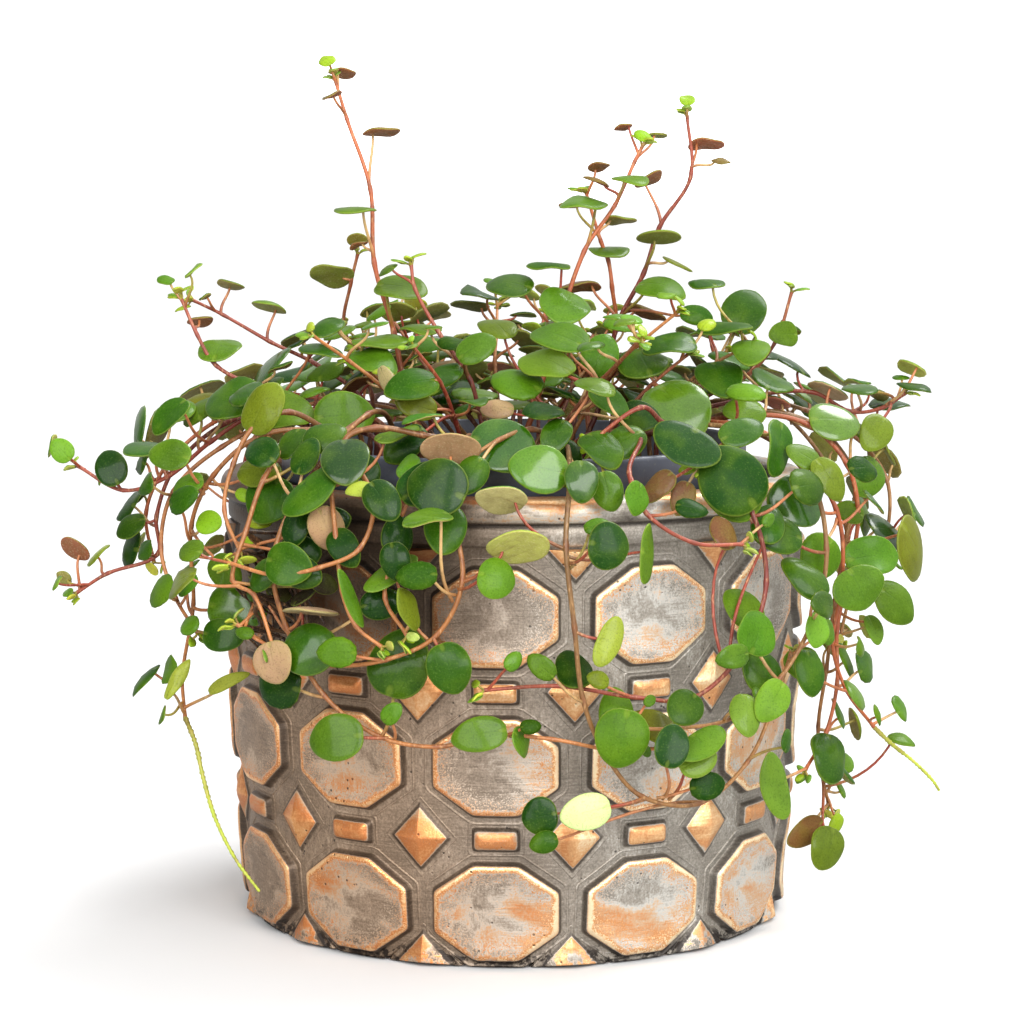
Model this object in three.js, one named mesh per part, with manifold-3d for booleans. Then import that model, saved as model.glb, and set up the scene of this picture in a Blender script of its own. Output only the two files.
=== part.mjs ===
// A potted trailing peperomia: leafy stems that stand in the soil of a plastic grow pot, inside a
// round cast planter with octagon, diamond and bar tiles in relief. Millimetres, +Z up. The origin
// is the centre of the planter's underside, and the front of the plant faces -Y.

import * as THREE from "three";
import { mergeVertices } from "three/addons/utils/BufferGeometryUtils.js";
import Module from "manifold-3d";

const wasm = await Module();
wasm.setup();

// Planter
const WALL_FOOT_RADIUS = 68.2;
const WALL_SPREAD = 5.0;
const WALL_SPREAD_HEIGHT = 100;
const WALL_CURVE = 1.8;
const WALL_SIDES = 36;
const WALL_RINGS = [1.4, 27.8, 72.2, 103];
const FOOT_INSET = 1.6;
const BAND_OUT = 1.0;
const LIP_BOTTOM = 108.4;
const LIP_RADIUS = 76.2;
const PLANTER_TOP = 114.5;
const CAVITY_TOP_RADIUS = 67.5;
const CAVITY_FOOT_RADIUS = 60.5;
const PLANTER_FLOOR = 9;
const SOFT_EDGE = 0.45;
const LIP_ROUND = 1.6;
const LIP_BULGE = 3.0;
const MOUTH_ROUND = 1.3;

// Relief tiles
const COLUMNS = 12;
const COLUMN_TURN = -3.5;
const ROW_CENTRES = [14, 50, 86];
const RELIEF = 2.4;
const SUNK = 1.6;
const OCTAGON = { halfWidth: 15.3, halfHeight: 12.3, cutAcross: 9.8, cutUp: 7.0, inset: 0.9 };
const BAR = { halfWidth: 5.6, halfHeight: 2.8, inset: 0.8 };
const DIAMOND = { halfWidth: 7.4, halfHeight: 8.2 };
const DIAMOND_TOP = 102.4;
const PATTERN_FOOT = 0.4;

// Grow pot and soil
const CLEARANCE = 0.3;
const GROW_POT = {
  footRadius: 44,
  neckRadius: 56.5,
  neckHeight: 112.5,
  rimRadius: 60.4,
  top: 122.3,
  wall: 1.2,
  base: 1.6,
  rimWall: 2.0,
  edge: 0.5,
  sides: 28,
};
const SOIL_TOP = 113;
const SOIL_RADIUS = 54.6;
const ROOT_DEPTH = 8;
const HOLE_CLEARANCE = 0.8;
const ROOT_SITES = 58;
const ROOT_RING = 50;
const GOLDEN_ANGLE = radians(137.508);

// Stems
const STEM_RADIUS = 1.15;
const TIP_RADIUS = 0.65;
const SPIKE_RADIUS = 0.75;
const STEM_SIDES = 3;
const COLLAR = 5;
const TRAIL_COLLAR = 11.6;
const STEM_GAP = 3.0;
const SAMPLE_STEP = 2.5;
const EASE_ROUNDS = 200;
const LEAST_SHARE = 0.25;

// Leaves
const STALK_RADIUS = 0.62;
const FOOT_RADIUS = 0.4;
const BLADE_SIDES = 7;
const BLADE_THICKNESS = 1.5;
const LONGEST_LEAF = 18.5;
const SHORTEST_LEAF = 6;
const STALK_SEAT = 0.28;
const STALK_STEP = 1.6;
const STALK_LEAN = 0.36;
const BLADE_GAP = 1.9;
const STALK_GAP = 1.8;
const STEM_TO_BLADE = 2.2;
const BLADE_TO_POT = 1.6;
const STALK_TO_POT = 0.9;
const STEM_TO_POT = 1.8;
const NODE_REACH = 5;
const TRIES = 30;
const SLIDES = 14;
const SLIDE_STEP = 1.6;
const JOINTS_TRIED = 8;
const SEED = 2026;

const UP = new THREE.Vector3(0, 0, 1);
const VIEWPOINT = new THREE.Vector3(0, -766, 192);

function point(x, y, z) {
  return new THREE.Vector3(x, y, z);
}

function radians(degrees) {
  return (degrees * Math.PI) / 180;
}

// A linear congruential draw from 0 to 1, the same on every run. Each use has a seed of its own.
function seeded(...keys) {
  let state = keys.reduce((mix, key) => (mix * 7919 + key * 104729 + 12345) % 4294967296, SEED);
  const draw = () => {
    state = (state * 1664525 + 1013904223) % 4294967296;
    return state / 4294967296;
  };
  draw();
  draw();
  return draw;
}

// Solids

function solid(geometry) {
  const bare = geometry.index ? geometry.toNonIndexed() : geometry.clone();
  bare.deleteAttribute("normal");
  bare.deleteAttribute("uv");
  const merged = mergeVertices(bare, 1e-4);
  return new wasm.Manifold(
    new wasm.Mesh({
      numProp: 3,
      vertProperties: merged.attributes.position.array,
      triVerts: merged.index.array,
    }),
  );
}

function meshed(name, shape, finish) {
  const { vertProperties, triVerts } = shape.getMesh();
  const geometry = new THREE.BufferGeometry();
  geometry.setAttribute("position", new THREE.BufferAttribute(vertProperties, 3));
  geometry.setIndex(new THREE.BufferAttribute(triVerts, 1));
  geometry.computeVertexNormals();
  const mesh = new THREE.Mesh(geometry, new THREE.MeshStandardMaterial(finish));
  mesh.name = name;
  return mesh;
}

function joined(shapes) {
  return shapes.reduce((whole, shape) => whole.add(shape));
}

function turned(profile, sides) {
  const outline = profile.map(([radius, z]) => new THREE.Vector2(radius, z));
  return new THREE.LatheGeometry(outline, sides).rotateX(Math.PI / 2);
}

// Triangles across a ring: strips between its two halves where it is even, and a fan where it isn't.
function capFaces(count) {
  const faces = [];
  if (count % 2 === 0) {
    for (let i = 0; i < count / 2 - 1; i++) {
      const far = count - 1 - i;
      faces.push([i, i + 1, far - 1], [i, far - 1, far]);
    }
    return faces;
  }
  for (let i = 1; i < count - 1; i++) {
    faces.push([0, i, i + 1]);
  }
  return faces;
}

// A closed skin over rings that turn left about the way up. A ring of one point is a peak.
function skin(rings) {
  const starts = [0];
  rings.forEach((ring) => starts.push(starts[starts.length - 1] + ring.length));
  const faces = [];
  for (let r = 0; r < rings.length - 1; r++) {
    const low = rings[r].length;
    const high = rings[r + 1].length;
    let i = 0;
    let j = 0;
    while (i < low || j < high) {
      const a = starts[r] + (i % low);
      const b = starts[r + 1] + (j % high);
      if (j >= high || (i < low && (i + 1) * high <= (j + 1) * low)) {
        if (low > 1) {
          faces.push(a, starts[r] + ((i + 1) % low), b);
        }
        i += 1;
      } else {
        if (high > 1) {
          faces.push(a, starts[r + 1] + ((j + 1) % high), b);
        }
        j += 1;
      }
    }
  }
  capFaces(rings[0].length).forEach(([a, b, c]) => faces.push(a, c, b));
  const last = starts[rings.length - 1];
  capFaces(rings[rings.length - 1].length).forEach((abc) => faces.push(...abc.map((v) => v + last)));
  const geometry = new THREE.BufferGeometry();
  const positions = rings.flat().flatMap((p) => p.toArray());
  geometry.setAttribute("position", new THREE.Float32BufferAttribute(positions, 3));
  geometry.setIndex(faces);
  return geometry;
}

// A closed tube through the points, with a ring square to the path at each.
function tube(points, radii, sides) {
  const along = points.map((_, i) => {
    const ahead = points[Math.min(i + 1, points.length - 1)];
    return ahead.clone().sub(points[Math.max(i - 1, 0)]).normalize();
  });
  let across = Math.abs(along[0].z) > 0.9 ? point(1, 0, 0) : UP;
  const rings = points.map((p, i) => {
    across = across.clone().addScaledVector(along[i], -across.dot(along[i])).normalize();
    const other = along[i].clone().cross(across);
    return Array.from({ length: sides }, (_, s) => {
      const turn = (2 * Math.PI * s) / sides;
      const onRing = p.clone().addScaledVector(across, radii[i] * Math.cos(turn));
      return onRing.addScaledVector(other, radii[i] * Math.sin(turn));
    });
  });
  return skin(rings);
}

// Planter

function wallRadius(z) {
  const share = Math.min(Math.max(z, 0), WALL_SPREAD_HEIGHT) / WALL_SPREAD_HEIGHT;
  return WALL_FOOT_RADIUS + WALL_SPREAD * (1 - (1 - share) ** WALL_CURVE);
}

function planterBody() {
  const patternTop = WALL_RINGS[WALL_RINGS.length - 1];
  const bandRadius = wallRadius(patternTop) + BAND_OUT;
  const wall = WALL_RINGS.map((z) => [wallRadius(z), z]);
  const profile = [
    [0, 0],
    [WALL_FOOT_RADIUS - FOOT_INSET, 0],
    ...wall,
    [bandRadius, patternTop + SOFT_EDGE],
    [bandRadius, LIP_BOTTOM],
    [LIP_RADIUS - SOFT_EDGE, LIP_BOTTOM + SOFT_EDGE],
    [LIP_RADIUS, LIP_BOTTOM + LIP_BULGE],
    [LIP_RADIUS - LIP_ROUND, PLANTER_TOP],
    [CAVITY_TOP_RADIUS + MOUTH_ROUND, PLANTER_TOP],
    [CAVITY_TOP_RADIUS, PLANTER_TOP - MOUTH_ROUND],
    [CAVITY_FOOT_RADIUS, PLANTER_FLOOR],
    [0, PLANTER_FLOOR],
  ];
  return solid(turned(profile, WALL_SIDES));
}

// A place on the wall, from a column's middle: across along the wall, up to a height, and off it.
function onWall(column, across, z, off) {
  const angle = radians(COLUMN_TURN + (column * 360) / COLUMNS) + across / wallRadius(z);
  const radius = wallRadius(z) + off;
  return point(radius * Math.sin(angle), -radius * Math.cos(angle), z);
}

// A tile follows the wall. Its face is smaller than its foot by the inset.
function tile(outline, inset, column, centre) {
  const ring = (pull, off) =>
    outline.map(([u, v]) => {
      const share = 1 - pull / Math.hypot(u, v);
      return onWall(column, u * share, Math.max(centre + v * share, PATTERN_FOOT), off);
    });
  return solid(skin([ring(0, -SUNK), ring(inset, RELIEF)]));
}

function octagon(column, centre) {
  const { halfWidth: w, halfHeight: h, cutAcross: c, cutUp: d, inset } = OCTAGON;
  const lower = [[-w, d - h], [c - w, -h], [w - c, -h], [w, d - h]];
  const upper = lower.map(([u, v]) => [-u, -v]);
  return tile([...lower, ...upper], inset, column, centre);
}

function bar(column, centre) {
  const { halfWidth: w, halfHeight: h, inset } = BAR;
  return tile([[-w, -h], [w, -h], [w, h], [-w, h]], inset, column, centre);
}

// A diamond is a low pyramid. Halves of one close the pattern at its top and foot.
function diamond(column, centre, corners) {
  const { halfWidth: w, halfHeight: h } = DIAMOND;
  const spread = (RELIEF + SUNK) / RELIEF;
  const all = { down: [0, -h], right: [w, 0], up: [0, h], left: [-w, 0] };
  const outline = corners.map((name) => all[name]);
  const middle = corners.length < 4 ? (corners.includes("up") ? h / 3 : -h / 3) : 0;
  const foot = outline.map(([u, v]) => {
    const z = centre + middle + (v - middle) * spread;
    return onWall(column + 0.5, u * spread, Math.max(z, PATTERN_FOOT), -SUNK);
  });
  return solid(skin([foot, [onWall(column + 0.5, 0, centre + middle, RELIEF)]]));
}

function planter() {
  const shapes = [planterBody()];
  const between = ROW_CENTRES.slice(1).map((z, i) => (z + ROW_CENTRES[i]) / 2);
  for (let column = 0; column < COLUMNS; column++) {
    ROW_CENTRES.forEach((z) => shapes.push(octagon(column, z)));
    between.forEach((z) => {
      shapes.push(bar(column, z), diamond(column, z, ["down", "right", "up", "left"]));
    });
    shapes.push(diamond(column, PATTERN_FOOT, ["right", "up", "left"]));
    shapes.push(diamond(column, DIAMOND_TOP, ["down", "right", "left"]));
  }
  return joined(shapes);
}

// Grow pot and soil

function growPot() {
  const { footRadius, neckRadius, neckHeight, rimRadius, top, wall, base, rimWall, edge, sides } = GROW_POT;
  const foot = PLANTER_FLOOR + CLEARANCE;
  const profile = [
    [0, foot],
    [footRadius, foot],
    [neckRadius, neckHeight],
    [rimRadius - edge, neckHeight + edge],
    [rimRadius, top - 2 * edge],
    [rimRadius - edge, top],
    [rimRadius - rimWall, top],
    [rimRadius - rimWall - edge, neckHeight + edge + wall],
    [neckRadius - wall, neckHeight + wall],
    [footRadius - wall, foot + base],
    [0, foot + base],
  ];
  return solid(turned(profile, sides));
}

function soil(sites) {
  const { footRadius, wall, base, sides } = GROW_POT;
  const foot = PLANTER_FLOOR + 2 * CLEARANCE + base;
  const footReach = footRadius - wall - 2 * CLEARANCE;
  const profile = [[0, foot], [footReach, foot], [SOIL_RADIUS, SOIL_TOP], [0, SOIL_TOP]];
  const hole = STEM_RADIUS + HOLE_CLEARANCE;
  const holes = sites.map(([x, y]) => {
    const bottom = point(x, y, SOIL_TOP - ROOT_DEPTH - CLEARANCE);
    return solid(tube([bottom, point(x, y, SOIL_TOP + 2)], [hole, hole], STEM_SIDES));
  });
  return holes.reduce((ground, drilled) => ground.subtract(drilled), solid(turned(profile, sides)));
}

// Stem routes, by hand: the joints of each stem after it leaves the soil. A spike is the
// thread-like flower that a stem ends in.
const ROUTES = {
  tall_shoot_left: [
    [-28, -5, 132], [-31, -5, 150], [-36, -5, 168], [-37, -4, 187], [-43, -3, 205], [-46, -3, 215],
  ],
  tall_shoot_middle: [
    [5, -11, 130], [10, -10, 147], [18, -8, 171], [26, -7, 183], [31, -6, 194], [33, -6, 198],
  ],
  tall_shoot_right: [
    [24, 8, 134], [27, 8, 151], [34, 7, 165], [38, 6, 177], [46, 5, 190], [45, 5, 206],
  ],
  tall_shoot_inner: [
    [20, 22, 132], [27, 18, 149], [26, 15, 161], [25, 15, 168], [23, 14, 173], [19, 13, 186],
  ],
  shoot_right_back: [[50, 14, 131], [62, 12, 138], [69, 10, 147], [73, 9, 160]],
  shoot_left_low: [[-40, 8, 132], [-52, 8, 141], [-64, 7, 147], [-76, 6, 154], [-84, 5, 158]],
  shoot_left_curl: [
    [-50, -16, 130], [-64, -16, 136], [-76, -14, 142], [-81, -13, 150], [-85, -12, 159],
  ],
  shoot_front_red: [[-8, -24, 128], [-11, -24, 139], [-19, -22, 151], [-25, -21, 162], [-26, -20, 168]],
  shoot_left_inner: [[-38, 20, 132], [-45, 16, 150], [-43, 12, 162], [-41, 10, 170]],
  trail_left_heart: [
    [-52, -30, 128], [-64, -30, 131], [-76, -28, 124], [-87, -26, 115], [-99, -23, 111],
    [-111, -20, 117],
  ],
  trail_left_far: [
    [-58, -8, 130], [-74, -10, 127], [-87, -11, 116], [-92, -12, 103], [-92, -11, 93],
    [-105, -10, 88], [-113, -10, 83],
  ],
  trail_left_hook: [
    [-46, -42, 128], [-62, -46, 127], [-74, -44, 117], [-80, -40, 104], [-80, -37, 84],
    [-83, -36, 66], [-82, -40, 56],
  ],
  trail_left_fold: [
    [-58, -22, 130], [-74, -28, 124], [-85, -34, 112], [-88, -36, 98], [-84, -40, 86],
    [-78, -46, 78],
  ],
  trail_left_side: [[-60, 3, 131], [-77, 2, 127], [-90, 0, 116], [-96, -1, 103], [-94, -2, 90]],
  trail_front_arc: [
    [-12, -62, 127], [-15, -79, 115], [-12, -86, 97], [-18, -86, 84], [-30, -85, 78],
    [-43, -81, 76], [-55, -76, 78], [-66, -70, 84],
  ],
  trail_front_left: [
    [-38, -54, 127], [-50, -68, 117], [-57, -74, 100], [-54, -74, 84], [-45, -76, 68],
    [-32, -80, 59], [-18, -83, 57], [-5, -84, 60], [9, -84, 59], [24, -82, 56], [38, -78, 56],
  ],
  trail_front_loop: [
    [12, -58, 127], [13, -78, 120], [12, -87, 105], [14, -88, 86], [16, -87, 69], [21, -85, 56],
    [30, -82, 45], [44, -76, 42], [56, -67, 50], [63, -58, 62], [68, -50, 74],
  ],
  trail_front_red: [
    [44, -56, 126], [56, -68, 112], [60, -70, 94], [54, -74, 78], [42, -80, 68], [28, -84, 69],
    [10, -86, 72], [-7, -86, 71],
  ],
  trail_front_short: [[30, -60, 128], [27, -77, 121], [31, -83, 112], [42, -81, 105], [54, -76, 104]],
  trail_right_front: [
    [58, -44, 128], [72, -52, 117], [76, -54, 100], [73, -56, 84], [64, -64, 70], [52, -73, 62],
    [38, -81, 61], [25, -86, 62],
  ],
  trail_right_long: [
    [60, -22, 130], [74, -24, 128], [84, -25, 118], [87, -25, 105], [85, -25, 91], [82, -25, 76],
    [82, -26, 62], [79, -29, 50], [73, -37, 42],
  ],
  trail_right_low: [
    [62, -6, 130], [78, -6, 126], [88, -7, 113], [86, -8, 97], [83, -9, 80], [81, -10, 63],
    [79, -10, 48], [80, -10, 36], [82, -10, 27],
  ],
  trail_right_spike: [
    [54, -34, 129], [69, -37, 123], [80, -38, 108], [82, -36, 90], [80, -33, 74], [84, -28, 61],
    [92, -21, 50],
  ],
  trail_right_high: [[64, 4, 132], [78, 3, 134], [88, 2, 129], [96, 1, 130], [102, 0, 134]],
  trail_right_broad: [
    [62, 18, 131], [78, 18, 128], [91, 15, 121], [99, 13, 110], [99, 11, 96], [94, 9, 84],
  ],
  trail_right_side: [
    [57, 32, 130], [73, 34, 126], [85, 33, 112], [90, 30, 96], [91, 26, 80], [88, 22, 66],
  ],
};
const SPIKES = {
  trail_left_hook: [[-79, -44, 50], [-77, -46, 42], [-74, -47, 32], [-69, -48, 22], [-63, -49, 14]],
  trail_right_spike: [[97, -18, 45], [103, -16, 40], [108, -15, 35], [110, -14, 32]],
};

// Leaves set by hand: the middle of the blade, its length, then how far its face turns to the right
// of the front, and how far up from the horizon, in degrees.
const PLACED_LEAVES = [
  [-48, -5, 220, 5, -20, 50], [-44, -4, 217, 8, 190, 75], [-34, -4, 202, 10.5, 200, 78],
  [-41, -5, 182, 12.5, 10, 86], [-41, 9, 174, 6, 180, 50], [-48, 12, 165, 12, 180, 55],
  [-29, -12, 162, 14, 0, 62], [45, 4, 210, 5, 0, 55], [50, 6, 199, 10, 200, 68],
  [35, 6, 190, 9.5, 230, 60], [38, 6, 175, 12.5, 180, 72], [33, -7, 201, 5, 20, 50],
  [28, -6, 203, 5, 210, 70], [30, -6, 190, 11, 0, 84], [18, -8, 184, 13, 30, 78],
  [15, 13, 183, 7, 190, 75], [28, 16, 179, 9, 180, 75], [25, 14, 171, 12.5, 15, 80],
  [17, 14, 162, 12.5, 190, 74], [9, -12, 168, 11.5, 20, 84], [-1, -14, 163, 12.5, 0, 62],
  [13, -16, 158, 14.5, 25, 55], [38, 0, 162, 13.5, 0, 66], [50, 2, 163, 11, 0, 80],
  [61, 14, 155, 14.5, 0, 30], [71, 6, 149, 9, 30, 20], [-74, 6, 162, 8, 150, 68],
  [-64, 7, 157, 10, 140, 66], [-82, 4, 153, 8, 200, 70], [-89, -12, 164, 5, 0, 60],
  [-71, -28, 135, 16, -25, 50], [-57, -30, 132, 14, 0, 50], [-86, -22, 132, 12, -20, 62],
  [-75, -14, 147, 13, -15, 66], [-114, -26, 121.5, 7, 0, 12], [-102, -24, 117, 10.5, -10, 22],
  [-93, -24, 122, 12, 0, 78], [-113, -10, 95, 9, 150, 40], [-116, -10, 87, 5, 150, 20],
  [-99, -12, 101, 9, -30, 40], [-69, -43, 84, 15.5, -15, 14], [-71, -50, 94, 10, -15, 10],
  [-75, -48, 106, 7, -20, 30], [-60, -50, 112, 15, -20, 28], [-53, -82, 100, 12, -20, 12],
  [-48, -78, 117, 16, -30, 38], [-44, -77, 108, 11, 10, 10], [-48, -72, 88, 14, 170, 76],
  [-49, -74, 79, 14, -20, 22], [-27, -84, 77, 17, -10, 14], [-15, -90, 77, 12.5, 5, 12],
  [-42, -82, 59, 14, -15, 18], [-8, -88, 61, 13.5, 0, 22], [-29, -82, 98, 14.5, -20, 52],
  [-15, -70, 127, 14.5, 180, 40], [-3, -62, 126, 16, 0, 38], [6, -76, 122, 14.5, 10, 24],
  [16, -74, 119, 10.5, 10, 22], [-18, -87, 119, 15, -10, 22], [-3, -82, 116, 12.5, 180, 50],
  [1, -88, 106, 16, 180, 50], [-4, -90, 98, 11.5, 15, 22], [8, -40, 145, 15.5, 0, 62],
  [41, -30, 133, 18.5, 5, 42], [52, -70, 119, 18.5, 10, 22], [41, -68, 127, 16, 10, 40],
  [52, -20, 140, 14.5, 0, 56], [58, -28, 132, 12, 20, 50], [32, -30, 145, 14, 0, 58],
  [65, -44, 124, 14, 50, 20], [69, -54, 112, 14, 30, 22], [81, -24, 129, 14, 20, 42],
  [91, -16, 114, 10.5, 35, 22], [75, -52, 98, 12, 25, 12], [90, -30, 95, 14.5, 20, 30],
  [86, -36, 88, 13.5, 25, 20], [97, -26, 83, 13, 30, 26], [103, -14, 95, 16.5, 60, 10],
  [55, -70, 88, 12, 25, 30], [58, -70, 82, 11.5, 30, 18], [60, -66, 72, 12, 30, 20],
  [72, -44, 70, 11, 35, 18], [22, -90, 83, 13.5, 10, 14], [31, -86, 103, 14, 60, 8],
  [22, -86, 105, 12.5, 10, 14], [25, -92, 61, 14, 5, 12], [40, -86, 67, 10, 20, 34],
  [44, -84, 58, 15, 10, 50], [17, -90, 43, 12.5, 15, 12], [6, -90, 42, 10.5, -5, 12],
  [76, -14, 21, 12.5, 30, 10], [81, -19, 18, 11.5, 30, 12], [64, -56, 42, 17, 35, 12],
  [80, -34, 45, 14, 40, 30],
];

// Stems by rule: long ones that hang over the back, and short ones that fill the mound.
const BACK_TRAILS = 9;
const BACK_ARC = { from: 22, to: 158 };
const SHORT_STEMS = 20;
const HANG = [[61, 129], [76, 127], [86, 116], [88, 101], [87, 86], [85, 71], [84, 57], [83, 43]];

function outward(p) {
  const reach = Math.hypot(p.x, p.y);
  return point(p.x / reach, p.y / reach, 0);
}

function hangingRoute(start, draw) {
  const joints = 4 + Math.floor(draw() * 5);
  const drift = (draw() - 0.5) * 0.16;
  return HANG.slice(0, joints).map(([radius, z], k) => {
    const angle = start + drift * k + (draw() - 0.5) * 0.05;
    const reach = radius + (draw() - 0.5) * 4;
    return point(reach * Math.cos(angle), reach * Math.sin(angle), z + (draw() - 0.5) * 4);
  });
}

function shortRoute(site, draw) {
  let place = point(...site, SOIL_TOP + COLLAR);
  const out = outward(place);
  const lean = 0.2 + 0.45 * draw() + 0.35 * (Math.hypot(...site) / ROOT_RING);
  const heading = out.clone().multiplyScalar(lean).add(UP).normalize();
  const joints = 3 + Math.floor(draw() * 2);
  return Array.from({ length: joints }, () => {
    const sway = point(draw() - 0.5, draw() - 0.5, 0).multiplyScalar(0.5);
    heading.addScaledVector(out, 0.16).add(sway).normalize();
    place = place.clone().addScaledVector(heading, 10 + 4 * draw());
    return place;
  });
}

// Keeping clear: stems and stalks are held as samples, and each blade as a disc.

const takenPoints = [];
const takenDiscs = [];

function clearOfPots(p, gap) {
  const reach = Math.hypot(p.x, p.y);
  const overSoil = reach < SOIL_RADIUS - gap && p.z > SOIL_TOP + gap;
  const planterReach = p.z < LIP_BOTTOM - gap ? wallRadius(p.z) + RELIEF : LIP_RADIUS;
  const byPlanter = p.z < PLANTER_TOP + gap && reach < planterReach + gap;
  const byRim = p.z < GROW_POT.top + gap && reach < GROW_POT.rimRadius + gap;
  return p.z > gap && (overSoil || !(byPlanter || byRim));
}

function samples(a, b) {
  const count = Math.max(2, Math.ceil(a.distanceTo(b) / SAMPLE_STEP));
  return Array.from({ length: count + 1 }, (_, i) => a.clone().lerp(b, i / count));
}

function discDistance(p, disc) {
  const away = p.clone().sub(disc.centre);
  const height = away.dot(disc.normal);
  const reach = Math.sqrt(Math.max(away.lengthSq() - height * height, 0));
  return Math.hypot(height, Math.max(reach - disc.radius, 0));
}

function discSpots(disc) {
  const across = disc.tip.clone().cross(disc.normal);
  const spots = [disc.centre];
  for (const [share, count] of [[1, 12], [0.55, 6]]) {
    for (let i = 0; i < count; i++) {
      const turn = (2 * Math.PI * i) / count;
      const spot = disc.centre.clone().addScaledVector(disc.tip, disc.radius * share * Math.cos(turn));
      spots.push(spot.addScaledVector(across, disc.radius * share * Math.sin(turn)));
    }
  }
  return spots;
}

// The push that would clear a stretch of stem from what it comes too close to, or nothing.
function pushNeeded(a, b) {
  const spots = samples(a, b);
  for (let i = 0; i < spots.length; i++) {
    const share = i / (spots.length - 1);
    if (!clearOfPots(spots[i], STEM_TO_POT)) {
      return { share, push: outward(spots[i]).add(point(0, 0, 0.6)) };
    }
    for (const { place } of takenPoints) {
      const away = spots[i].clone().sub(place);
      const gap = away.length();
      if (gap < STEM_GAP) {
        return { share, push: away.multiplyScalar((STEM_GAP - gap + 0.3) / Math.max(gap, 0.1)) };
      }
    }
  }
  return null;
}

// A stem that comes too close to another, or to a pot, is eased aside at the joints concerned.
function ease(joints) {
  for (let round = 0; round < EASE_ROUNDS; round++) {
    let k = 2;
    let need = pushNeeded(joints[1], joints[2]);
    while (!need && k < joints.length - 1) {
      k += 1;
      need = pushNeeded(joints[k - 1], joints[k]);
    }
    if (!need) {
      return;
    }
    joints[k].addScaledVector(need.push, Math.max(need.share, LEAST_SHARE));
    if (k > 2) {
      joints[k - 1].addScaledVector(need.push, Math.max(1 - need.share, LEAST_SHARE));
    }
  }
}

function bladeFits(leaf) {
  const { stalk, stem } = leaf;
  const reach = leaf.seat.clone().sub(leaf.joint);
  if (reach.dot(leaf.normal) < STALK_LEAN * reach.length()) {
    return false;
  }
  const bladeIsClear = leaf.spots.every((p) => clearOfPots(p, BLADE_TO_POT));
  if (!bladeIsClear || stalk.some((p) => !clearOfPots(p, STALK_TO_POT))) {
    return false;
  }
  for (const disc of takenDiscs) {
    const touches =
      disc.centre.distanceTo(leaf.centre) < disc.radius + leaf.radius + BLADE_GAP &&
      (leaf.spots.some((p) => discDistance(p, disc) < BLADE_GAP) ||
        disc.spots.some((p) => discDistance(p, leaf) < BLADE_GAP));
    if (touches || stalk.some((p) => discDistance(p, disc) < STALK_GAP)) {
      return false;
    }
  }
  return takenPoints.every((taken) => {
    const atJoint = taken.stem === stem && taken.place.distanceTo(leaf.joint) < NODE_REACH;
    const clearOfBlade = atJoint || discDistance(taken.place, leaf) > STEM_TO_BLADE;
    return clearOfBlade && (taken.stem === stem || stalk.every((p) => p.distanceTo(taken.place) > STEM_GAP));
  });
}

// Where the next leaf leaves a joint: each a step further along the stem than the one before.
function stalkFoot(stem, k) {
  const joint = stem.joints[k];
  const ahead = stem.joints[k + 1] || stem.joints[k - 1];
  const taken = stem.leaves.filter((leaf) => leaf.k === k).length;
  const along = ahead.clone().sub(joint).normalize();
  return joint.clone().addScaledVector(along, STALK_STEP * (taken + 0.5));
}

// The blade's disc, with a stalk from the stem's joint to its seat near the blade's foot.
function leafAt(stem, k, centre, normal, tip, length, width) {
  const seat = centre.clone().addScaledVector(tip, -STALK_SEAT * length);
  const joint = stalkFoot(stem, k);
  const leaf = { stem, k, joint, centre, normal, tip, length, width, seat, radius: length / 2 };
  return { ...leaf, spots: discSpots(leaf), stalk: samples(joint, seat) };
}

function keepIfClear(leaf) {
  if (!bladeFits(leaf)) {
    return false;
  }
  takenDiscs.push(leaf);
  leaf.stalk.forEach((place) => takenPoints.push({ place, stem: leaf.stem }));
  leaf.stem.leaves.push(leaf);
  return true;
}

// A leaf set by hand hangs on the nearest joint that it can. Where it meets something, it slides
// nearer to or further from a viewer in front.
function placeLeaf([x, y, z, length, turn, rise], stems, index) {
  const draw = seeded(1, index);
  const width = length * (0.78 + 0.18 * draw());
  const wished = point(x, y, z);
  const normal = point(
    Math.sin(radians(turn)) * Math.cos(radians(rise)),
    -Math.cos(radians(turn)) * Math.cos(radians(rise)),
    Math.sin(radians(rise)),
  );
  const joints = stems
    .flatMap((stem) => stem.joints.map((joint, k) => ({ stem, k, away: joint.distanceTo(wished) })))
    .filter(({ k }) => k > 1)
    .sort((a, b) => a.away - b.away)
    .slice(0, JOINTS_TRIED);
  for (let step = 0; step < SLIDES; step++) {
    const slide = (step % 2 ? -1 : 1) * Math.ceil(step / 2) * SLIDE_STEP;
    const sight = wished.clone().sub(VIEWPOINT).normalize();
    const centre = wished.clone().addScaledVector(sight, slide);
    for (const { stem, k } of joints) {
      const away = centre.clone().sub(stem.joints[k]);
      const tip = away.addScaledVector(normal, -away.dot(normal)).normalize();
      if (keepIfClear(leafAt(stem, k, centre, normal, tip, length, width))) {
        return true;
      }
    }
  }
  return false;
}

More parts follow.
